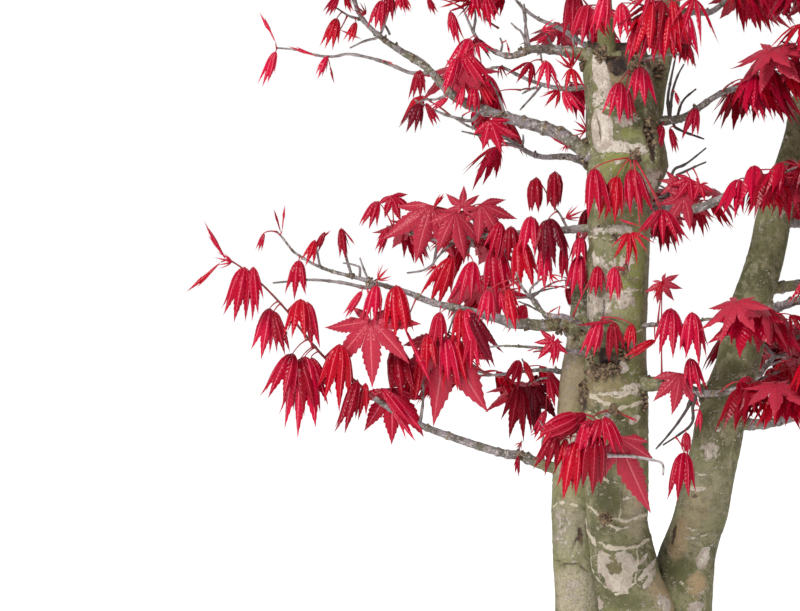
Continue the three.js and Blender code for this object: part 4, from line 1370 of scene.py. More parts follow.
def bark_material():
    """Brown olive bark with cream cork, ring lines, tan and grey parts, and dark wounds; some parts are
    painted light and painted shade.
    """
    paint = Paint("maple_bark")
    broad = paint.noise(24, 5, 0.6)
    middle = paint.noise(85, 5, 0.62, distortion=0.6)
    fine = paint.noise(230, 6, 0.68)
    grain = paint.noise(520, 5, 0.7)
    streaks = paint.noise(150, 4, 0.6, (1, 1, 0.3))
    moss_and_painted_light = paint.times(paint.attribute("moss_and_painted_light"), paint.ramp(fine, 0.3, 0.6, 1, 0.65))
    grey = paint.times(paint.attribute("grey"), paint.ramp(grain, 0.3, 0.6))
    tan = paint.times(paint.attribute("tan"), paint.ramp(fine, 0.3, 0.65, 0.5, 1))
    cork = cork_share(paint, middle, fine)
    ridge = paint.crisp("line", fine, 1.3, 0.36, 0.6)
    ridge_colour = paint.mix(paint.ramp(grain, 0.38, 0.66), (0.58, 0.50, 0.39), BEIGE)
    wound = paint.mix(paint.ramp(streaks, 0.4, 0.62), (0.03, 0.02, 0.017), (0.13, 0.08, 0.05))
    layers = [
        (paint.ramp(broad, 0.36, 0.62), DEEP_OLIVE),
        (paint.ramp(middle, 0.44, 0.62, 0, 0.8), (0.27, 0.245, 0.14)),
        (paint.ramp(fine, 0.36, 0.52, 0.75, 0), DEEP_OLIVE),
        (paint.ramp(streaks, 0.56, 0.72, 0, 0.6), BEIGE),
        # moss green; where this mask lies on the main trunk's right side it is painted light
        (moss_and_painted_light, (0.225, 0.24, 0.062)),
        # deep olive: in part painted shade low on the main trunk's left side
        (paint.attribute("deep"), DEEP_OLIVE),
        # beige and tan: in part painted light on the main trunk's right side
        (grey, BEIGE),
        (tan, (0.42, 0.29, 0.165)),
        (cork, cork_colour(paint, middle, grain)),
        (ridge, ridge_colour),
        (paint.crisp("dark", fine, 0.7, 0.3, 0.75), wound),
    ]
    colour = OLIVE
    for share, over in layers:
        colour = paint.mix(share, colour, over)
    height = paint.sum(fine, paint.times(streaks, 0.6))
    height = paint.sum(height, paint.times(grain, 0.5))
    height = paint.sum(height, paint.times(paint.higher(cork, ridge), 0.5))
    paint.bump(height, 0.85, 0.0011)
    return paint.finished(colour, paint.ramp(fine, 0.3, 0.7, 0.62, 0.9), 0.3)


def bough_material():
    """Grey-lilac bough bark with brown rings, pale cork and crumpled brown knots."""
    paint = Paint("maple_bough_bark")
    brown = (0.075, 0.05, 0.035)
    broad = paint.noise(70, 4, 0.6)
    fine = paint.noise(380, 5, 0.68)
    olive = paint.mix(paint.ramp(fine, 0.4, 0.62), (0.13, 0.125, 0.055), (0.27, 0.245, 0.14))
    knot_colour = paint.mix(paint.ramp(paint.noise(300, 4, 0.65), 0.42, 0.62), brown, (0.30, 0.21, 0.12))
    layers = [
        (paint.ramp(broad, 0.4, 0.6), (0.12, 0.105, 0.09)),
        (paint.ramp(paint.noise(38, 3), 0.52, 0.64, 0, 0.75), (0.11, 0.11, 0.055)),
        (paint.ramp(fine, 0.5, 0.64, 0, 0.8), (0.56, 0.49, 0.47)),
        (paint.ramp(paint.noise(150, 4, 0.6), 0.56, 0.66, 0, 0.9), brown),
        (paint.ramp(paint.attribute("knot"), -0.15, -0.7), olive),
        (paint.crisp("knot", fine, 0.8), knot_colour),
    ]
    colour = (0.25, 0.215, 0.225)
    for share, over in layers:
        colour = paint.mix(share, colour, over)
    paint.bump(paint.sum(fine, broad), 0.8, 0.0008)
    return paint.finished(colour, paint.ramp(fine, 0.3, 0.7, 0.55, 0.85), 0.3)


def twig_material(name, first, second):
    """Two tones of bark, whitened or darkened where the twig is marked so."""
    paint = Paint(name)
    colour = paint.mix(paint.ramp(paint.noise(160, 4), 0.4, 0.65), first, second)
    whitened = paint.times(paint.attribute("whitened"), paint.ramp(paint.noise(260, 4), 0.62, 0.45))
    colour = paint.mix(whitened, colour, (0.45, 0.39, 0.395))
    colour = paint.mix(paint.ramp(paint.attribute("whitened"), 0, -1), colour, (0.05, 0.035, 0.03))
    paint.bump(paint.noise(700, 3), 0.4, 0.0003)
    return paint.finished(colour, 0.6)


def leaf_material(name, tint, gloss):
    """A plain leaf colour; its gloss varies, and side veins and a fine grain stand on its surface."""
    paint = Paint(name)
    roughness = paint.ramp(paint.noise(260, 3), 0.3, 0.7, gloss - 0.06, gloss + 0.1)
    ribs = paint.math("SINE", paint.times(paint.attribute("herring"), 1.6))
    crumple = paint.times(paint.noise(150, 3, 0.5), 1.15)
    paint.bump(paint.sum(paint.times(ribs, 0.1), crumple), 0.8, 0.0009)
    return paint.finished(tint, roughness, 0.15)


# Boughs and twigs

boughs = Skin()
twigs = Skin()
young_shoots = Skin()
stalks = Skin()


def limb_radii(name, shares):
    """A limb's radius, with a collar where it leaves the trunk."""
    radius = LIMBS[name][4]
    collar = 1 + COLLAR_SHARE * np.exp(-shares / COLLAR_REACH)
    girth = 1 + FOOT_GIRTH.get(name, 0) * np.exp(-((shares / GIRTH_REACH) ** 2))
    return (TIP_RADIUS + (radius - TIP_RADIUS) * (1 - shares) ** 1.15) * collar * girth


def bough_swell(points, sides, seed):
    """Lumps, ring scars and flats of a bough as shares of its radius, its nodes, and how brown it is."""
    random = seeded(seed)
    lengths = lengths_along(points)
    angles = np.linspace(0, 2 * math.pi, sides, endpoint=False)
    round_it = np.stack([np.cos(angles), np.sin(angles)], -1)
    probe = np.concatenate([
        np.broadcast_to(round_it * 4, (len(points), sides, 2)),
        np.broadcast_to(lengths[:, None, None], (len(points), sides, 1)),
    ], -1) + seed * 37.7
    swell = rough(probe, (5, 5, 22), seed, 2) * 0.16 + rough(probe, (2, 2, 5), seed + 3, 2) * 0.1
    place = between(FIRST_NODES, random())
    nodes = []
    brown = np.zeros(len(points))
    while place < lengths[-1] - 3:
        nodes.append(place)
        width = between(NODE_WIDTHS, random())
        height = between(NODE_HEIGHTS, random())
        ring = np.exp(-(((lengths - place) / width) ** 2))
        swell += height * ring[:, None]
        swell -= 0.07 * np.exp(-(((lengths - place - width * 1.6) / width) ** 2))[:, None]
        brown = np.maximum(brown, ring * between(NODE_BROWNS, random()))
        place += between(NODE_GAPS, random())
    return swell, nodes, lengths, brown


def add_knob(point, way, size, seed, value=0.8, flat=0.0):
    """A bud knot: a short lumpy stub, or a flake where it is flat."""
    random = seeded(seed)
    steps = np.linspace(0, 1, 6)
    bend = (np.array([random(), random(), random()]) - 0.5) * size * 0.8
    line = point + np.outer(steps, unit(way) * size * 2.2) + np.outer(steps**2, bend)
    radii = size * np.array([0.9, 1.05, 0.8, 0.95, 0.7, 0.25])
    lumpy = np.array([[0.3 * (random() - 0.5) for _ in range(KNOB_SIDES)] for _ in steps])
    turns = np.linspace(0, 4 * math.pi, KNOB_SIDES, endpoint=False) + 6 * random()
    tube(boughs, line, radii, KNOB_SIDES, lumpy + flat * np.cos(turns), value)


def add_gnarl(centre, out, wide, high, count, size, seed):
    """A crumpled knot of old bark: lumps and curled flakes crowded over an oval, standing out of it."""
    random = seeded(seed)
    out = unit(out)
    across = level_side(out)
    up = np.cross(out, across)
    for number in range(count):
        turn = number * SPIRAL_TURN
        reach = math.sqrt((number + 0.5) / count)
        spot = centre + across * math.cos(turn) * reach * wide + up * math.sin(turn) * reach * high
        way = out + (across * (random() - 0.5) + up * (random() - 0.5)) * 1.6
        lump = size * (0.6 + 0.8 * random()) * (1.15 - 0.45 * reach)
        foot = spot - out * lump * (0.9 + 1.2 * reach)
        add_knob(foot, way, lump * 1.15, seed * 31 + number, 0.7 + 0.3 * random(), 0.66)


def add_node_knots(name, line, shares, radii, nodes, lengths, end):
    """Bud knots at some of a limb's nodes, short of the end of its wood."""
    random = seeded(LIMBS[name][8] + 300)
    for place in nodes:
        i = int(np.searchsorted(lengths, place))
        if random() > KNOTTED_SHARE or i + 1 >= end or shares[i] < BARE_FOOT:
            continue
        tangent = unit(line[i + 1] - line[i - 1])
        out = np.array([random() - 0.5, random() - 0.5, random() - 0.2])
        out = unit(out - tangent * out.dot(tangent))
        size = 0.7 + 0.34 * radii[i] * random()
        add_knob(line[i] + out * radii[i] * 0.7, out + tangent * 0.4, size, int(place * 7))


def grow_bough(name):
    """A limb's wood, with knots at its nodes. The young end of the low left limb is a thin red shoot."""
    seen = name in SEEN_LINES
    line, shares = limb_line(name, 1.6 if seen else 3.0)
    radii = limb_radii(name, shares)
    sides = BOUGH_SIDES if seen else HIDDEN_SIDES
    swell, nodes, lengths, brown = bough_swell(line, sides, LIMBS[name][8])
    if name in FRONT_LIMBS:
        brown = np.maximum(brown, 0.8)
    else:
        olive_reach = 0.24 if name in FOOT_GIRTH else 0.12
        brown = brown - 1.3 * np.exp(-((shares / olive_reach) ** 2))
    end = len(line)
    if name == YOUNG_LIMB:
        end = int(np.searchsorted(shares, YOUNG_FROM))
        young = slice(end - 4, None)
        thin = np.linspace(1.55, 0.75, len(line) - end + 4)
        tube(young_shoots, line[young], thin, HIDDEN_SIDES, swell[young, :HIDDEN_SIDES] * 0.8)
    tube(boughs, line[:end], radii[:end], sides, swell[:end], brown[:end])
    add_node_knots(name, line, shares, radii, nodes, lengths, end)
    return line, radii


limb_lines = {name: grow_bough(name) for name in LIMBS}


def add_twig(points, first_radius, last_radius, seed, young=False, pale=0.0):
    line, shares = evenly(points, 2.2)
    radii = first_radius + (last_radius - first_radius) * shares
    swell = bough_swell(line, TWIG_SIDES, seed)[0] * (0.6 if young else 1.3)
    tube(young_shoots if young else twigs, line, radii, TWIG_SIDES, swell, pale)
    return line


def seen_twig(name, pixels, seed):
    """A twig along pixels: its depth starts at its limb's and drifts forward or back."""
    line = limb_lines[name][0]
    foot = line[nearest_to(pixels_of(line), *pixels[0])]
    pixels, shares = evenly(rounded(pixels, 2), PIXEL_STEP)
    drift = (seeded(seed)() - 0.5) * 0.8 * len(pixels) * PIXEL_STEP * PIXEL
    places = [place_at(px, py, foot[1] + drift * share) for (px, py), share in zip(pixels, shares)]
    return np.array([foot] + places[1:])


def grow_seen_twig(name, number, pixels):
    """The wood of a twig that the view shows; it is thicker at its foot the longer it is."""
    points = rounded(seen_twig(name, pixels, LIMBS[name][8] * 10 + number), 1)
    length = min(np.linalg.norm(np.diff(points, axis=0), axis=1).sum(), THICKENING_LENGTH)
    pale = 1.0 if name in PALE_TWIGS else (-1.0 if name in DARK_TWIGS else 0.0)
    extra = 0.3 if name in PALE_TWIGS else 0.0
    seed = LIMBS[name][8] * 20 + number
    return add_twig(points, 1.0 + length * 0.012 + extra, 0.75 + extra / 2, seed, pale=pale)


def add_trunk_gnarl(number, name, px, py, wide, high, count, size):
    turn, height = on_trunk(name, px, py)
    x, y, radius = station_values(TRUNKS[name]["stations"], [height])[0]
    out = np.array([math.sin(turn), -math.cos(turn), 0])
    centre = np.array([x, y, height]) + out * (radius + 0.6 + size)
    add_gnarl(centre, out, wide * PIXEL, high * PIXEL, count, size, 900 + number)


def add_limb_gnarl(number, name, px, py, reach, count, size):
    line, radii = limb_lines[name]
    nearest = nearest_to(pixels_of(line), px, py)
    front = unit(np.array([0, -1, 0.2]))
    centre = line[nearest] + front * radii[nearest] * 0.8
    add_gnarl(centre, front, reach * PIXEL, reach * PIXEL * 0.7, count, size, 950 + number)


# Lines that leaves may hang from, by limb.
carriers = {name: [line] for name, (line, _) in limb_lines.items()}
for name, rows in SEEN_TWIGS.items():
    for number, pixels in enumerate(rows):
        carriers[name].append(grow_seen_twig(name, number, pixels))

for number, row in enumerate(TRUNK_GNARLS):
    add_trunk_gnarl(number, *row)
for number, row in enumerate(LIMB_GNARLS):
    add_limb_gnarl(number, *row)

# The leaves

leaf_skins = {tint: Skin() for tint in TINTS}


def leaf_faces(rows, columns):
    index = np.arange(rows * columns).reshape(rows, columns)
    return halved(index[:-1, :-1], index[:-1, 1:], index[1:, :-1], index[1:, 1:])


def lobe_outline(cut, teeth):
    """Shares along a lobe, its half width past the cut at each, and how free of the web it is there."""
    stations = [0.0, cut * 0.35, cut * 0.7, cut]
    widths = [1.0, 1.0, 1.0, 1.0]
    for tooth in range(teeth):
        for part, tall in ((0.78, 1.09), (1.0, 0.89)):
            share = (tooth + part) / teeth
            slender = (1 - share) ** 0.95 * (1 + 1.7 * share * (1 - share))
            stations.append(cut + (1 - cut) * share)
            widths.append(slender * tall)
    widths[-1] = 0.0
    stations = np.array(stations)
    eased = smooth(0, 0.3, np.clip((stations - cut) / (1 - cut), 0, 1))
    return stations, np.array(widths), eased


def cone_path(angles, turns, reach, axis, front, side):
    """A line out over the leaf's cone, with its outward side and its way at each step."""
    radial = np.cos(turns)[:, None] * front + np.sin(turns)[:, None] * side
    way = np.cos(angles)[:, None] * axis + np.sin(angles)[:, None] * radial
    steps = (way[1:] + way[:-1]) / 2
    path = np.concatenate([np.zeros((1, 3)), np.cumsum(steps, axis=0)]) * (reach / LOBE_STEPS)
    outward = -np.sin(angles)[:, None] * axis + np.cos(angles)[:, None] * radial
    return path, outward, way


def at_stations(rows, stations):
    """Rows of values taken at shares between them."""
    places = stations * LOBE_STEPS
    low = np.clip(places.astype(int), 0, LOBE_STEPS - 1)
    part = (places - low)[:, None]
    return rows[low] * (1 - part) + rows[low + 1] * part


def side_grids(rib, edge, out, along, detailed):
    """One side of a lobe, as grids of points with the material and the side-vein values of each."""
    apart = np.linalg.norm(edge - rib, axis=1)
    if not detailed:
        herring = np.stack([along, along - apart * VEIN_LEAN], 1)
        return [(np.stack([rib, edge], 1), BLADE, herring)]
    vein = rib + (edge - rib) * VEIN_SHARE
    belly = rib + (edge - rib) * 0.5 + out * (apart * PUFF)[:, None]
    beside = np.stack([apart * VEIN_SHARE, apart * 0.5, apart], 1)
    herring = along[:, None] - beside * VEIN_LEAN
    return [
        (np.stack([rib, vein], 1), VEIN, herring[:, :2]),
        (np.stack([vein, belly, edge], 1), BLADE, herring),
    ]


def lobe_edge(rib, flat, web, wanted, widths, eased):
    """A lobe's edge on one side: it keeps to the web with the next lobe up to the cut, then is free."""
    web_width = np.linalg.norm(web[3])
    half_width = (web_width * (1 - eased) + wanted * eased) * widths
    blade = (web[3] / max(1e-6, web_width)) * (1 - eased)[:, None] + flat * eased[:, None]
    blade /= np.maximum(1e-9, np.linalg.norm(blade, axis=1))[:, None]
    edge = rib + blade * half_width[:, None]
    edge[:3] = rib[:3] + web[:3]
    return edge


def add_leaf(tint, root, axis, front, length, kind, random, detailed):
    """A leaf on a cone: its lobes leave the root, spread over the cone and hang along its axis.

    Axis is the middle of the cone, front the side of it that the longest lobe is on.
    """
    look = dict(zip(KIND_PARTS, LEAF_KINDS[kind]))
    axis = unit(axis)
    front = unit(front - axis * np.dot(front, axis))
    cone = (axis, front, np.cross(axis, front))
    turns = np.array(LOBE_TURNS[look["lobes"]]) * look["close"] * between(TURN_VARIES, random())
    lengths = np.array(LOBE_LENGTHS[look["lobes"]]) * length
    shares = np.linspace(0, 1, LOBE_STEPS + 1)
    gaps = np.diff(turns)
    gaps = np.concatenate([[gaps[0]], gaps, [gaps[-1]]])
    opening = look["end"] + 0.1 * (random() - 0.5)
    for lobe, turn in enumerate(turns):
        reach = lengths[lobe] * between(LENGTH_VARIES, random())
        end = opening + 0.22 * (random() - 0.5)
        angles = end + (look["shoulder"] - end) * np.exp(-((shares / look["bend"]) ** 1.3))
        angles = angles + (random() - 0.5) * 1.5 * np.clip(shares - 0.6, 0, 1) ** 2 * 3
        sway = (random() - 0.5) * 0.5
        rib, outward, way = cone_path(angles, turn + sway * shares**2, reach, *cone)
        across = np.cross(way, outward)
        across /= np.maximum(1e-9, np.linalg.norm(across, axis=1))[:, None]
        fold = LEAST_FOLD + look["pleat"] * between(PLEAT_VARIES, random())
        for hand in (-1, 1):
            half_gap = gaps[lobe + (1 if hand > 0 else 0)] / 2
            cut = look["cut"] * min(1.0, length * 0.94 / reach) * between(LENGTH_VARIES, random())
            stations, widths, eased = lobe_outline(cut, FULL_TEETH if detailed else PLAIN_TEETH)
            beside = np.full(len(shares), turn + hand * half_gap)
            seam, seam_out, _ = cone_path(angles, beside, reach, *cone)
            spread = np.linalg.norm(seam - rib, axis=1)
            seam = seam - seam_out * (spread * look["pleat"])[:, None]
            rib_here, out_here, across_here, seam_here = (
                at_stations(rows, stations) for rows in (rib, outward, across * hand, seam)
            )
            flat = across_here * math.cos(fold) - out_here * math.sin(fold)
            edge = lobe_edge(rib_here, flat, seam_here - rib_here, look["wide"] * reach, widths, eased)
            for grid, slot, values in side_grids(rib_here, edge, out_here, stations * reach, detailed):
                faces = leaf_faces(*grid.shape[:2])
                leaf_skins[tint].add(root + grid.reshape(-1, 3), faces[:, ::hand], slot, values)


def add_stalk(foot, end, rise, random):
    """A red leaf stalk that arches from its node to the leaf."""
    middle = (foot + end) / 2 + np.array([0, 0, rise]) + (np.array([random(), random(), 0]) - 0.5) * 2
    shares = np.linspace(0, 1, STALK_STEPS)
    radii = STALK_RADIUS * (1.25 - 0.45 * shares)
    radii[0] *= 1.5
    tube(stalks, arc(foot, middle, end, shares), radii, 5)


def seen_leaf_frame(kind, root, tip, random):
    """The cone axis and the front of a leaf that the view shows from root to tip."""
    toward = unit(tip - root)
    if kind in ("open", "fan", "wide"):
        rise = 0.1 if kind == "wide" else 0.15 + 0.3 * random()
        normal = unit(np.array([(random() - 0.5) * 0.6, -0.9, rise]))
        return -normal, toward
    if kind in ("young", "spread"):
        axis = unit(toward + np.array([(random() - 0.5) * 0.5, 0.3 * (random() - 0.3), 0]))
        return axis, np.array([(random() - 0.5) * 0.9, -1, 0.1])
    axis = unit(toward + np.array([0, (random() - 0.5) * 0.4, 0]))
    turn = (random() - 0.5) * 1.3
    front = np.array([math.sin(turn), -math.cos(turn), 0])
    return axis, front


def trunk_at(stations, height, margin=0):
    """The X, Y and radius of a trunk at a height, or None where it has no wood."""
    if not stations[0][0] + margin <= height <= stations[-1][0] - margin:
        return None
    return station_values(stations, [height])[0]


def clear_of_trunks(point, margin):
    """Whether a place is outside every trunk by a margin."""
    for spec in TRUNKS.values():
        wood = trunk_at(spec["stations"], point[2])
        if wood is not None and math.hypot(point[0] - wood[0], point[1] - wood[1]) < wood[2] + margin:
            return False
    return True


def pick_tint(kind, random):
    """Open leaves are mostly rose; the others are dealt the tints by their shares."""
    share = random()
    if kind in ROSE_SHARES:
        return "rose" if share < ROSE_SHARES[kind] else "crimson"
    return next(tint for tint, limit in TINT_LIMITS.items() if share < limit)


def grow_seen_leaves(name, rows):
    """The leaves that the view shows on a limb; returns the pixels and the depth of each."""
    random = seeded(LIMBS[name][8] + 500)
    lines = np.concatenate(carriers[name])
    lines = lines[[clear_of_trunks(point, 2) for point in lines]]
    shown = pixels_of(lines)
    spans = []
    for kind, root_px, root_py, tip_px, tip_py, *tints in rows:
        foot = lines[nearest_to(shown, root_px, root_py)]
        depth = foot[1] + (6 if kind == "wide" else -3 - 9 * random())
        root = place_at(root_px, root_py, depth)
        tip = place_at(tip_px, tip_py, depth + (random() - 0.5) * 12)
        length = np.linalg.norm(tip - root) * (1.1 if kind in CLOSED_KINDS else 1.04)
        axis, front = seen_leaf_frame(kind, root, tip, random)
        drawn = pick_tint(kind, random)
        add_leaf(tints[0] if tints else drawn, root, axis, front, length, kind, random, True)
        rise = min(6, np.linalg.norm(root - foot) * 0.22) if kind != "sliver" else 0
        add_stalk(foot, root, rise, random)
        spans.append((root_px, root_py, tip_px, tip_py, depth, HIDING_REACH[kind]))
    return spans


# Each leaf that the view shows: the pixels of its root and tip, its depth, and how far it hides.
seen_spans = np.array([span for name, rows in SEEN_LEAVES.items() for span in grow_seen_leaves(name, rows)])

# The stems' own spaces, as the solids part them

limb_names = list(LIMBS)


def stem_start(name):
    """The share of a limb at which its foliage's stem starts."""
    bare = LIMBS[name][5]
    if bare or name in UPRIGHT:
        return bare
    return OUT_OF_TRUNK


site_points = np.concatenate([
    limb_point(name, np.linspace(stem_start(name), 1, SITES_PER_STEM + 1)) for name in limb_names
])
site_owner = np.repeat(np.arange(len(limb_names)), SITES_PER_STEM + 1)


def in_own_space(name, point):
    """Whether a place is nearer to its own stem than to every other."""
    raised = point + np.array([0, 0, SPACE_DROP])
    distances = np.linalg.norm(site_points - raised, axis=1)
    own = site_owner == limb_names.index(name)
    return distances[~own].min() - distances[own].min() > SPACE_MARGIN


def behind_trunk(px, py, depth):
    """Whether a trunk hides what is at a pixel at this depth."""
    height = CAMERA_Z - (py - CENTRE_PY) * PIXEL
    for spec in TRUNKS.values():
        wood = trunk_at(spec["stations"], height, 5)
        if wood is None:
            continue
        x, y, radius = wood
        centre, _ = seen_at((x, y, height))
        if abs(px - centre) < radius / PIXEL - TRUNK_EDGE and depth > y:
            return True
    return False


def open_sky(px, py, depth, reach):
    """Whether the view shows sky at a pixel, or a leaf that one at this depth would stand in front of.

    Reach is a share of how far each kind of leaf hides what is behind it.
    """
    if px > PICTURE_RIGHT + 10 or not -10 <= py <= PICTURE_LOW:
        return False
    start, end, depths, hides = seen_spans[:, :2], seen_spans[:, 2:4], seen_spans[:, 4], seen_spans[:, 5]
    way = end - start
    along = (px - start[:, 0]) * way[:, 0] + (py - start[:, 1]) * way[:, 1]
    near = start + way * np.clip(along / (way**2).sum(axis=1), 0, 1)[:, None]
    apart = np.hypot(near[:, 0] - px, near[:, 1] - py)
    return not bool(np.any((apart < reach * hides) & (depths < depth - 4)))


def may_show(name, point, reach):
    """Whether something of a limb may stand at a place without closing sky that the view shows."""
    px, py = seen_at(point)
    hidden = reach * HIDDEN_LIMBS.get(name, 1.0)
    return not open_sky(px, py, point[1], hidden) or behind_trunk(px, py, point[1])


def in_box(point):
    """Whether a point stays by the solids' own box."""
    return bool(np.all(point > BOX_LOW - BOX_MARGIN) and np.all(point < BOX_HIGH + BOX_MARGIN))


def grown_shoots(name):
    """The side shoots of a limb's foliage by the rule of the solids."""
    pairs, spread, seed = LIMBS[name][6:]
    random = seeded(seed + 100)
    start = stem_start(name)
    shoots = []
    for pair in range(pairs):
        share = (pair + FIRST_PAIR) / pairs
        t = start + (1 - start) * share
        foot = limb_point(name, t)
        tangent = limb_way(name, t, 1e-4)
        across = unit(np.cross(UP, tangent)) if name not in UPRIGHT else RIGHT
        lift = np.cross(tangent, across)
        spin = pair * 1.3 if name in UPRIGHT else 0.5 * (random() - 0.5)
        for hand in (-1, 1):
            turn = between(SHOOT_TURN, random())
            rise = between(SHOOT_RISE, random())
            length = spread * (1 - 0.3 * share) * between(SHOOT_LENGTHS, random())
            out = across * hand * math.cos(spin) + lift * hand * math.sin(spin)
            way = tangent * math.cos(turn) + out * math.sin(turn)
            way[2] += rise
            tip = foot + unit(way) * length
            tip[2] -= SHOOT_BEND * length
            shoots.append((foot, tip))
    return shoots


def leaf_fits(name, root, tip):
    """Whether a leaf is in its own limb's space, off the trunks, in the box and out of the open sky."""
    middle = (root + tip) / 2
    return (
        in_own_space(name, middle)
        and tip[2] > 5
        and clear_of_trunks(root, 4)
        and clear_of_trunks(middle, 5)
        and clear_of_trunks(tip, 3)
        and in_box(root)
        and in_box(tip)
        and may_show(name, root, 1)
        and may_show(name, tip, 0.6)
        and may_show(name, middle, 0.8)
    )


def hang_leaf(name, foot, way, hand, random):
    """One leaf of a pair: its stalk leaves the node to one side, and the leaf hangs from its end."""
    level = np.array([way[0], way[1], 0.0])
    level = unit(level) if level.dot(level) >= 0.02 else RIGHT
    turn = hand * between(PAIR_TURNS, random())
    along = np.array([
        level[0] * math.cos(turn) - level[1] * math.sin(turn),
        level[0] * math.sin(turn) + level[1] * math.cos(turn), 0,
    ])
    stalk = between(STALK_LENGTHS, random())
    rise = (random() - 0.25) * 9
    root = foot + along * stalk + np.array([0, 0, rise])
    is_open = random() < OPEN_SHARE
    kind = "open" if is_open else ("young" if random() < YOUNG_SHARE else "hang")
    length = LEAF_LENGTH * between(LEAF_SIZES, random())
    droop = between(DROOPS, random())
    tint = pick_tint(kind, random)
    if kind == "open":
        axis = -unit(UP * math.cos(droop) + along * math.sin(droop))
        front = along * math.cos(droop) - UP * math.sin(droop)
        tip = root + front * length
    else:
        axis = unit(along * 0.3 - UP)
        front = along
        tip = root + axis * length * 0.9
    if leaf_fits(name, root, tip):
        add_leaf(tint, root, axis, front, length, kind, random, False)
        add_stalk(foot, root, 3, random)


def dress(name, start, end, wood, random):
    """A twig from start to end with pairs of leaves along it."""
    raised = (start + end) / 2 + np.array([0, 0, 3 + 4 * random()])
    bow = raised + (np.array([random(), random(), 0]) - 0.5) * 5
    line = arc(start, bow, end, np.linspace(0, 1, TWIG_STEPS + 1))
    length = np.linalg.norm(end - start)
    if not all(may_show(name, point, 0.9) and in_box(point) for point in line[2:]):
        return
    young = length < YOUNG_TWIG
    add_twig(line, wood["first_radius"], wood["last_radius"], int(length * 13) + 5, young)
    count = max(1, int(round(length / wood["spacing"])))
    for i in range(1, count + 1):
        at = int(i / count * TWIG_STEPS)
        way = unit(line[min(TWIG_STEPS, at + 1)] - line[max(0, at - 1)])
        for hand in (-1, 1):
            hang_leaf(name, line[at], way, hand, random)


def grow_foliage(name):
    """The limb's side shoots with their pairs of leaves, and short spurs along its stem."""
    random = seeded(LIMBS[name][8] + 700)
    for foot, tip in grown_shoots(name):
        dress(name, foot, tip, SHOOT_WOOD, random)
    spread = LIMBS[name][7]
    for number, t in enumerate(np.linspace(stem_start(name) * 0.86 + 0.08, 1, SPURS)):
        foot = limb_point(name, t)
        tangent = limb_way(name, t, 1e-3)
        if name in UPRIGHT:
            out = np.array([math.cos(number * 2.2), math.sin(number * 2.2), 0.2])
        else:
            out = unit(np.cross(UP, tangent)) * (1 if number % 2 else -1)
        way = unit(out * between(SPUR_REACH, random()) + tangent * 0.7 + UP * (0.5 * random() - 0.1))
        length = spread * between(SPUR_LENGTHS, random())
        dress(name, foot, foot + way * length, SPUR_WOOD, random)


for name in LIMBS:
    grow_foliage(name)

# The pieces

bark = bark_material()
for name in TRUNKS:
    trunk_piece(name, bark)

bough_piece = boughs.made("boughs", [bough_material()], "knot")
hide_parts(*["bough_" + name for name in LIMBS if LIMBS[name][5]])

foliage_nodes = ["foliage_" + name for name in LIMBS]
twig_bark = twig_material("maple_twig", (0.27, 0.225, 0.225), (0.1, 0.075, 0.065))
shoot_bark = twig_material("maple_shoot", (0.3, 0.03, 0.035), (0.17, 0.05, 0.04))
stalk_bark = twig_material("maple_stalk", (0.5, 0.015, 0.035), (0.36, 0.02, 0.03))
twig_piece = twigs.made("twigs", [twig_bark], "whitened")
shoot_piece = young_shoots.made("young_shoots", [shoot_bark])
stalk_piece = stalks.made("leaf_stalks", [stalk_bark])
for piece in (twig_piece, shoot_piece, stalk_piece):
    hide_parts(*foliage_nodes)
for tint, skin in leaf_skins.items():
    blade, vein = TINTS[tint]
    materials = [leaf_material("leaf_" + tint, blade, 0.25), leaf_material("vein_" + tint, vein, 0.24)]
    piece = skin.made("leaves_" + tint, materials, "herring")
    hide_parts(*foliage_nodes)


# The room: a white floor, soft white light all round, a softer key light from the front left


def make_floor():
    mesh = bpy.data.meshes.new("floor")
    corners = [(-FLOOR, -FLOOR, 0), (FLOOR, -FLOOR, 0), (FLOOR, FLOOR, 0), (-FLOOR, FLOOR, 0)]
    mesh.from_pydata(corners, [], [(0, 1, 2, 3)])
    floor = bpy.data.objects.new("floor", mesh)
    bpy.context.scene.collection.objects.link(floor)
    floor.location.z = -FLOOR_DROP
    paint = Paint("floor_white")
    paint.shader.inputs["Emission Color"].default_value = WHITE
    paint.shader.inputs["Emission Strength"].default_value = FLOOR_GLOW
    mesh.materials.append(paint.finished((0.8, 0.8, 0.8), 0.9))


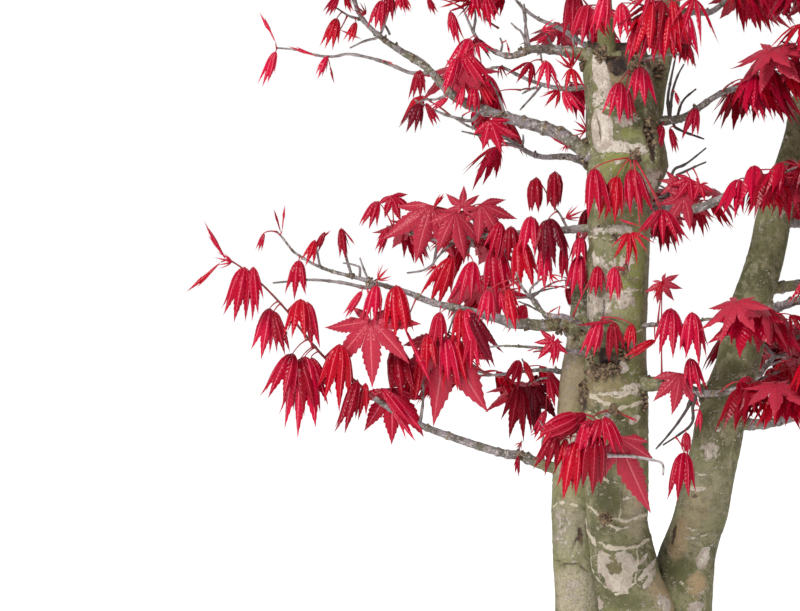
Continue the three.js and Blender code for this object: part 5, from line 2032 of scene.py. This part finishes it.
def make_key_light():
    light = bpy.data.lights.new("key", "AREA")
    light.shape = "DISK"
    light.size = KEY_SIZE
    light.energy = KEY_POWER
    lamp = bpy.data.objects.new("key", light)
    lamp.location = KEY_PLACE
    lamp.rotation_euler = (Vector(KEY_TARGET) - Vector(KEY_PLACE)).to_track_quat("-Z", "Y").to_euler()
    bpy.context.scene.collection.objects.link(lamp)


def make_sky():
    """White to the eye; as a light it is brighter from above than from below."""
    world = bpy.data.worlds.new("studio")
    bpy.context.scene.world = world
    world.use_nodes = True
    nodes, links = world.node_tree.nodes, world.node_tree.links
    seen = nodes["Background"]
    seen.inputs["Color"].default_value = WHITE
    seen.inputs["Strength"].default_value = 1.0
    split = nodes.new("ShaderNodeSeparateXYZ")
    links.new(nodes.new("ShaderNodeTexCoord").outputs["Generated"], split.inputs["Vector"])
    height = nodes.new("ShaderNodeMapRange")
    for socket, value in (("From Min", -0.2), ("From Max", 0.9), ("To Min", SKY_LOW), ("To Max", SKY_HIGH)):
        height.inputs[socket].default_value = value
    links.new(split.outputs["Z"], height.inputs["Value"])
    lit = nodes.new("ShaderNodeBackground")
    lit.inputs["Color"].default_value = WHITE
    links.new(height.outputs["Result"], lit.inputs["Strength"])
    choice = nodes.new("ShaderNodeMixShader")
    links.new(nodes.new("ShaderNodeLightPath").outputs["Is Camera Ray"], choice.inputs["Fac"])
    links.new(lit.outputs["Background"], choice.inputs[1])
    links.new(seen.outputs["Background"], choice.inputs[2])
    links.new(choice.outputs["Shader"], nodes["World Output"].inputs["Surface"])


def make_room():
    make_floor()
    make_sky()
    make_key_light()
    bpy.context.scene.view_settings.view_transform = "Standard"


def make_camera():
    camera = bpy.data.cameras.new("camera")
    camera.sensor_width = SENSOR
    camera.lens = LENS
    camera.clip_start = 0.05
    camera.clip_end = 200
    holder = bpy.data.objects.new("camera", camera)
    holder.location = (CAMERA_X * MM, -CAMERA_DISTANCE * MM, CAMERA_Z * MM)
    holder.rotation_euler = (math.pi / 2, 0, 0)
    bpy.context.scene.collection.objects.link(holder)
    bpy.context.scene.camera = holder


make_room()
make_camera()
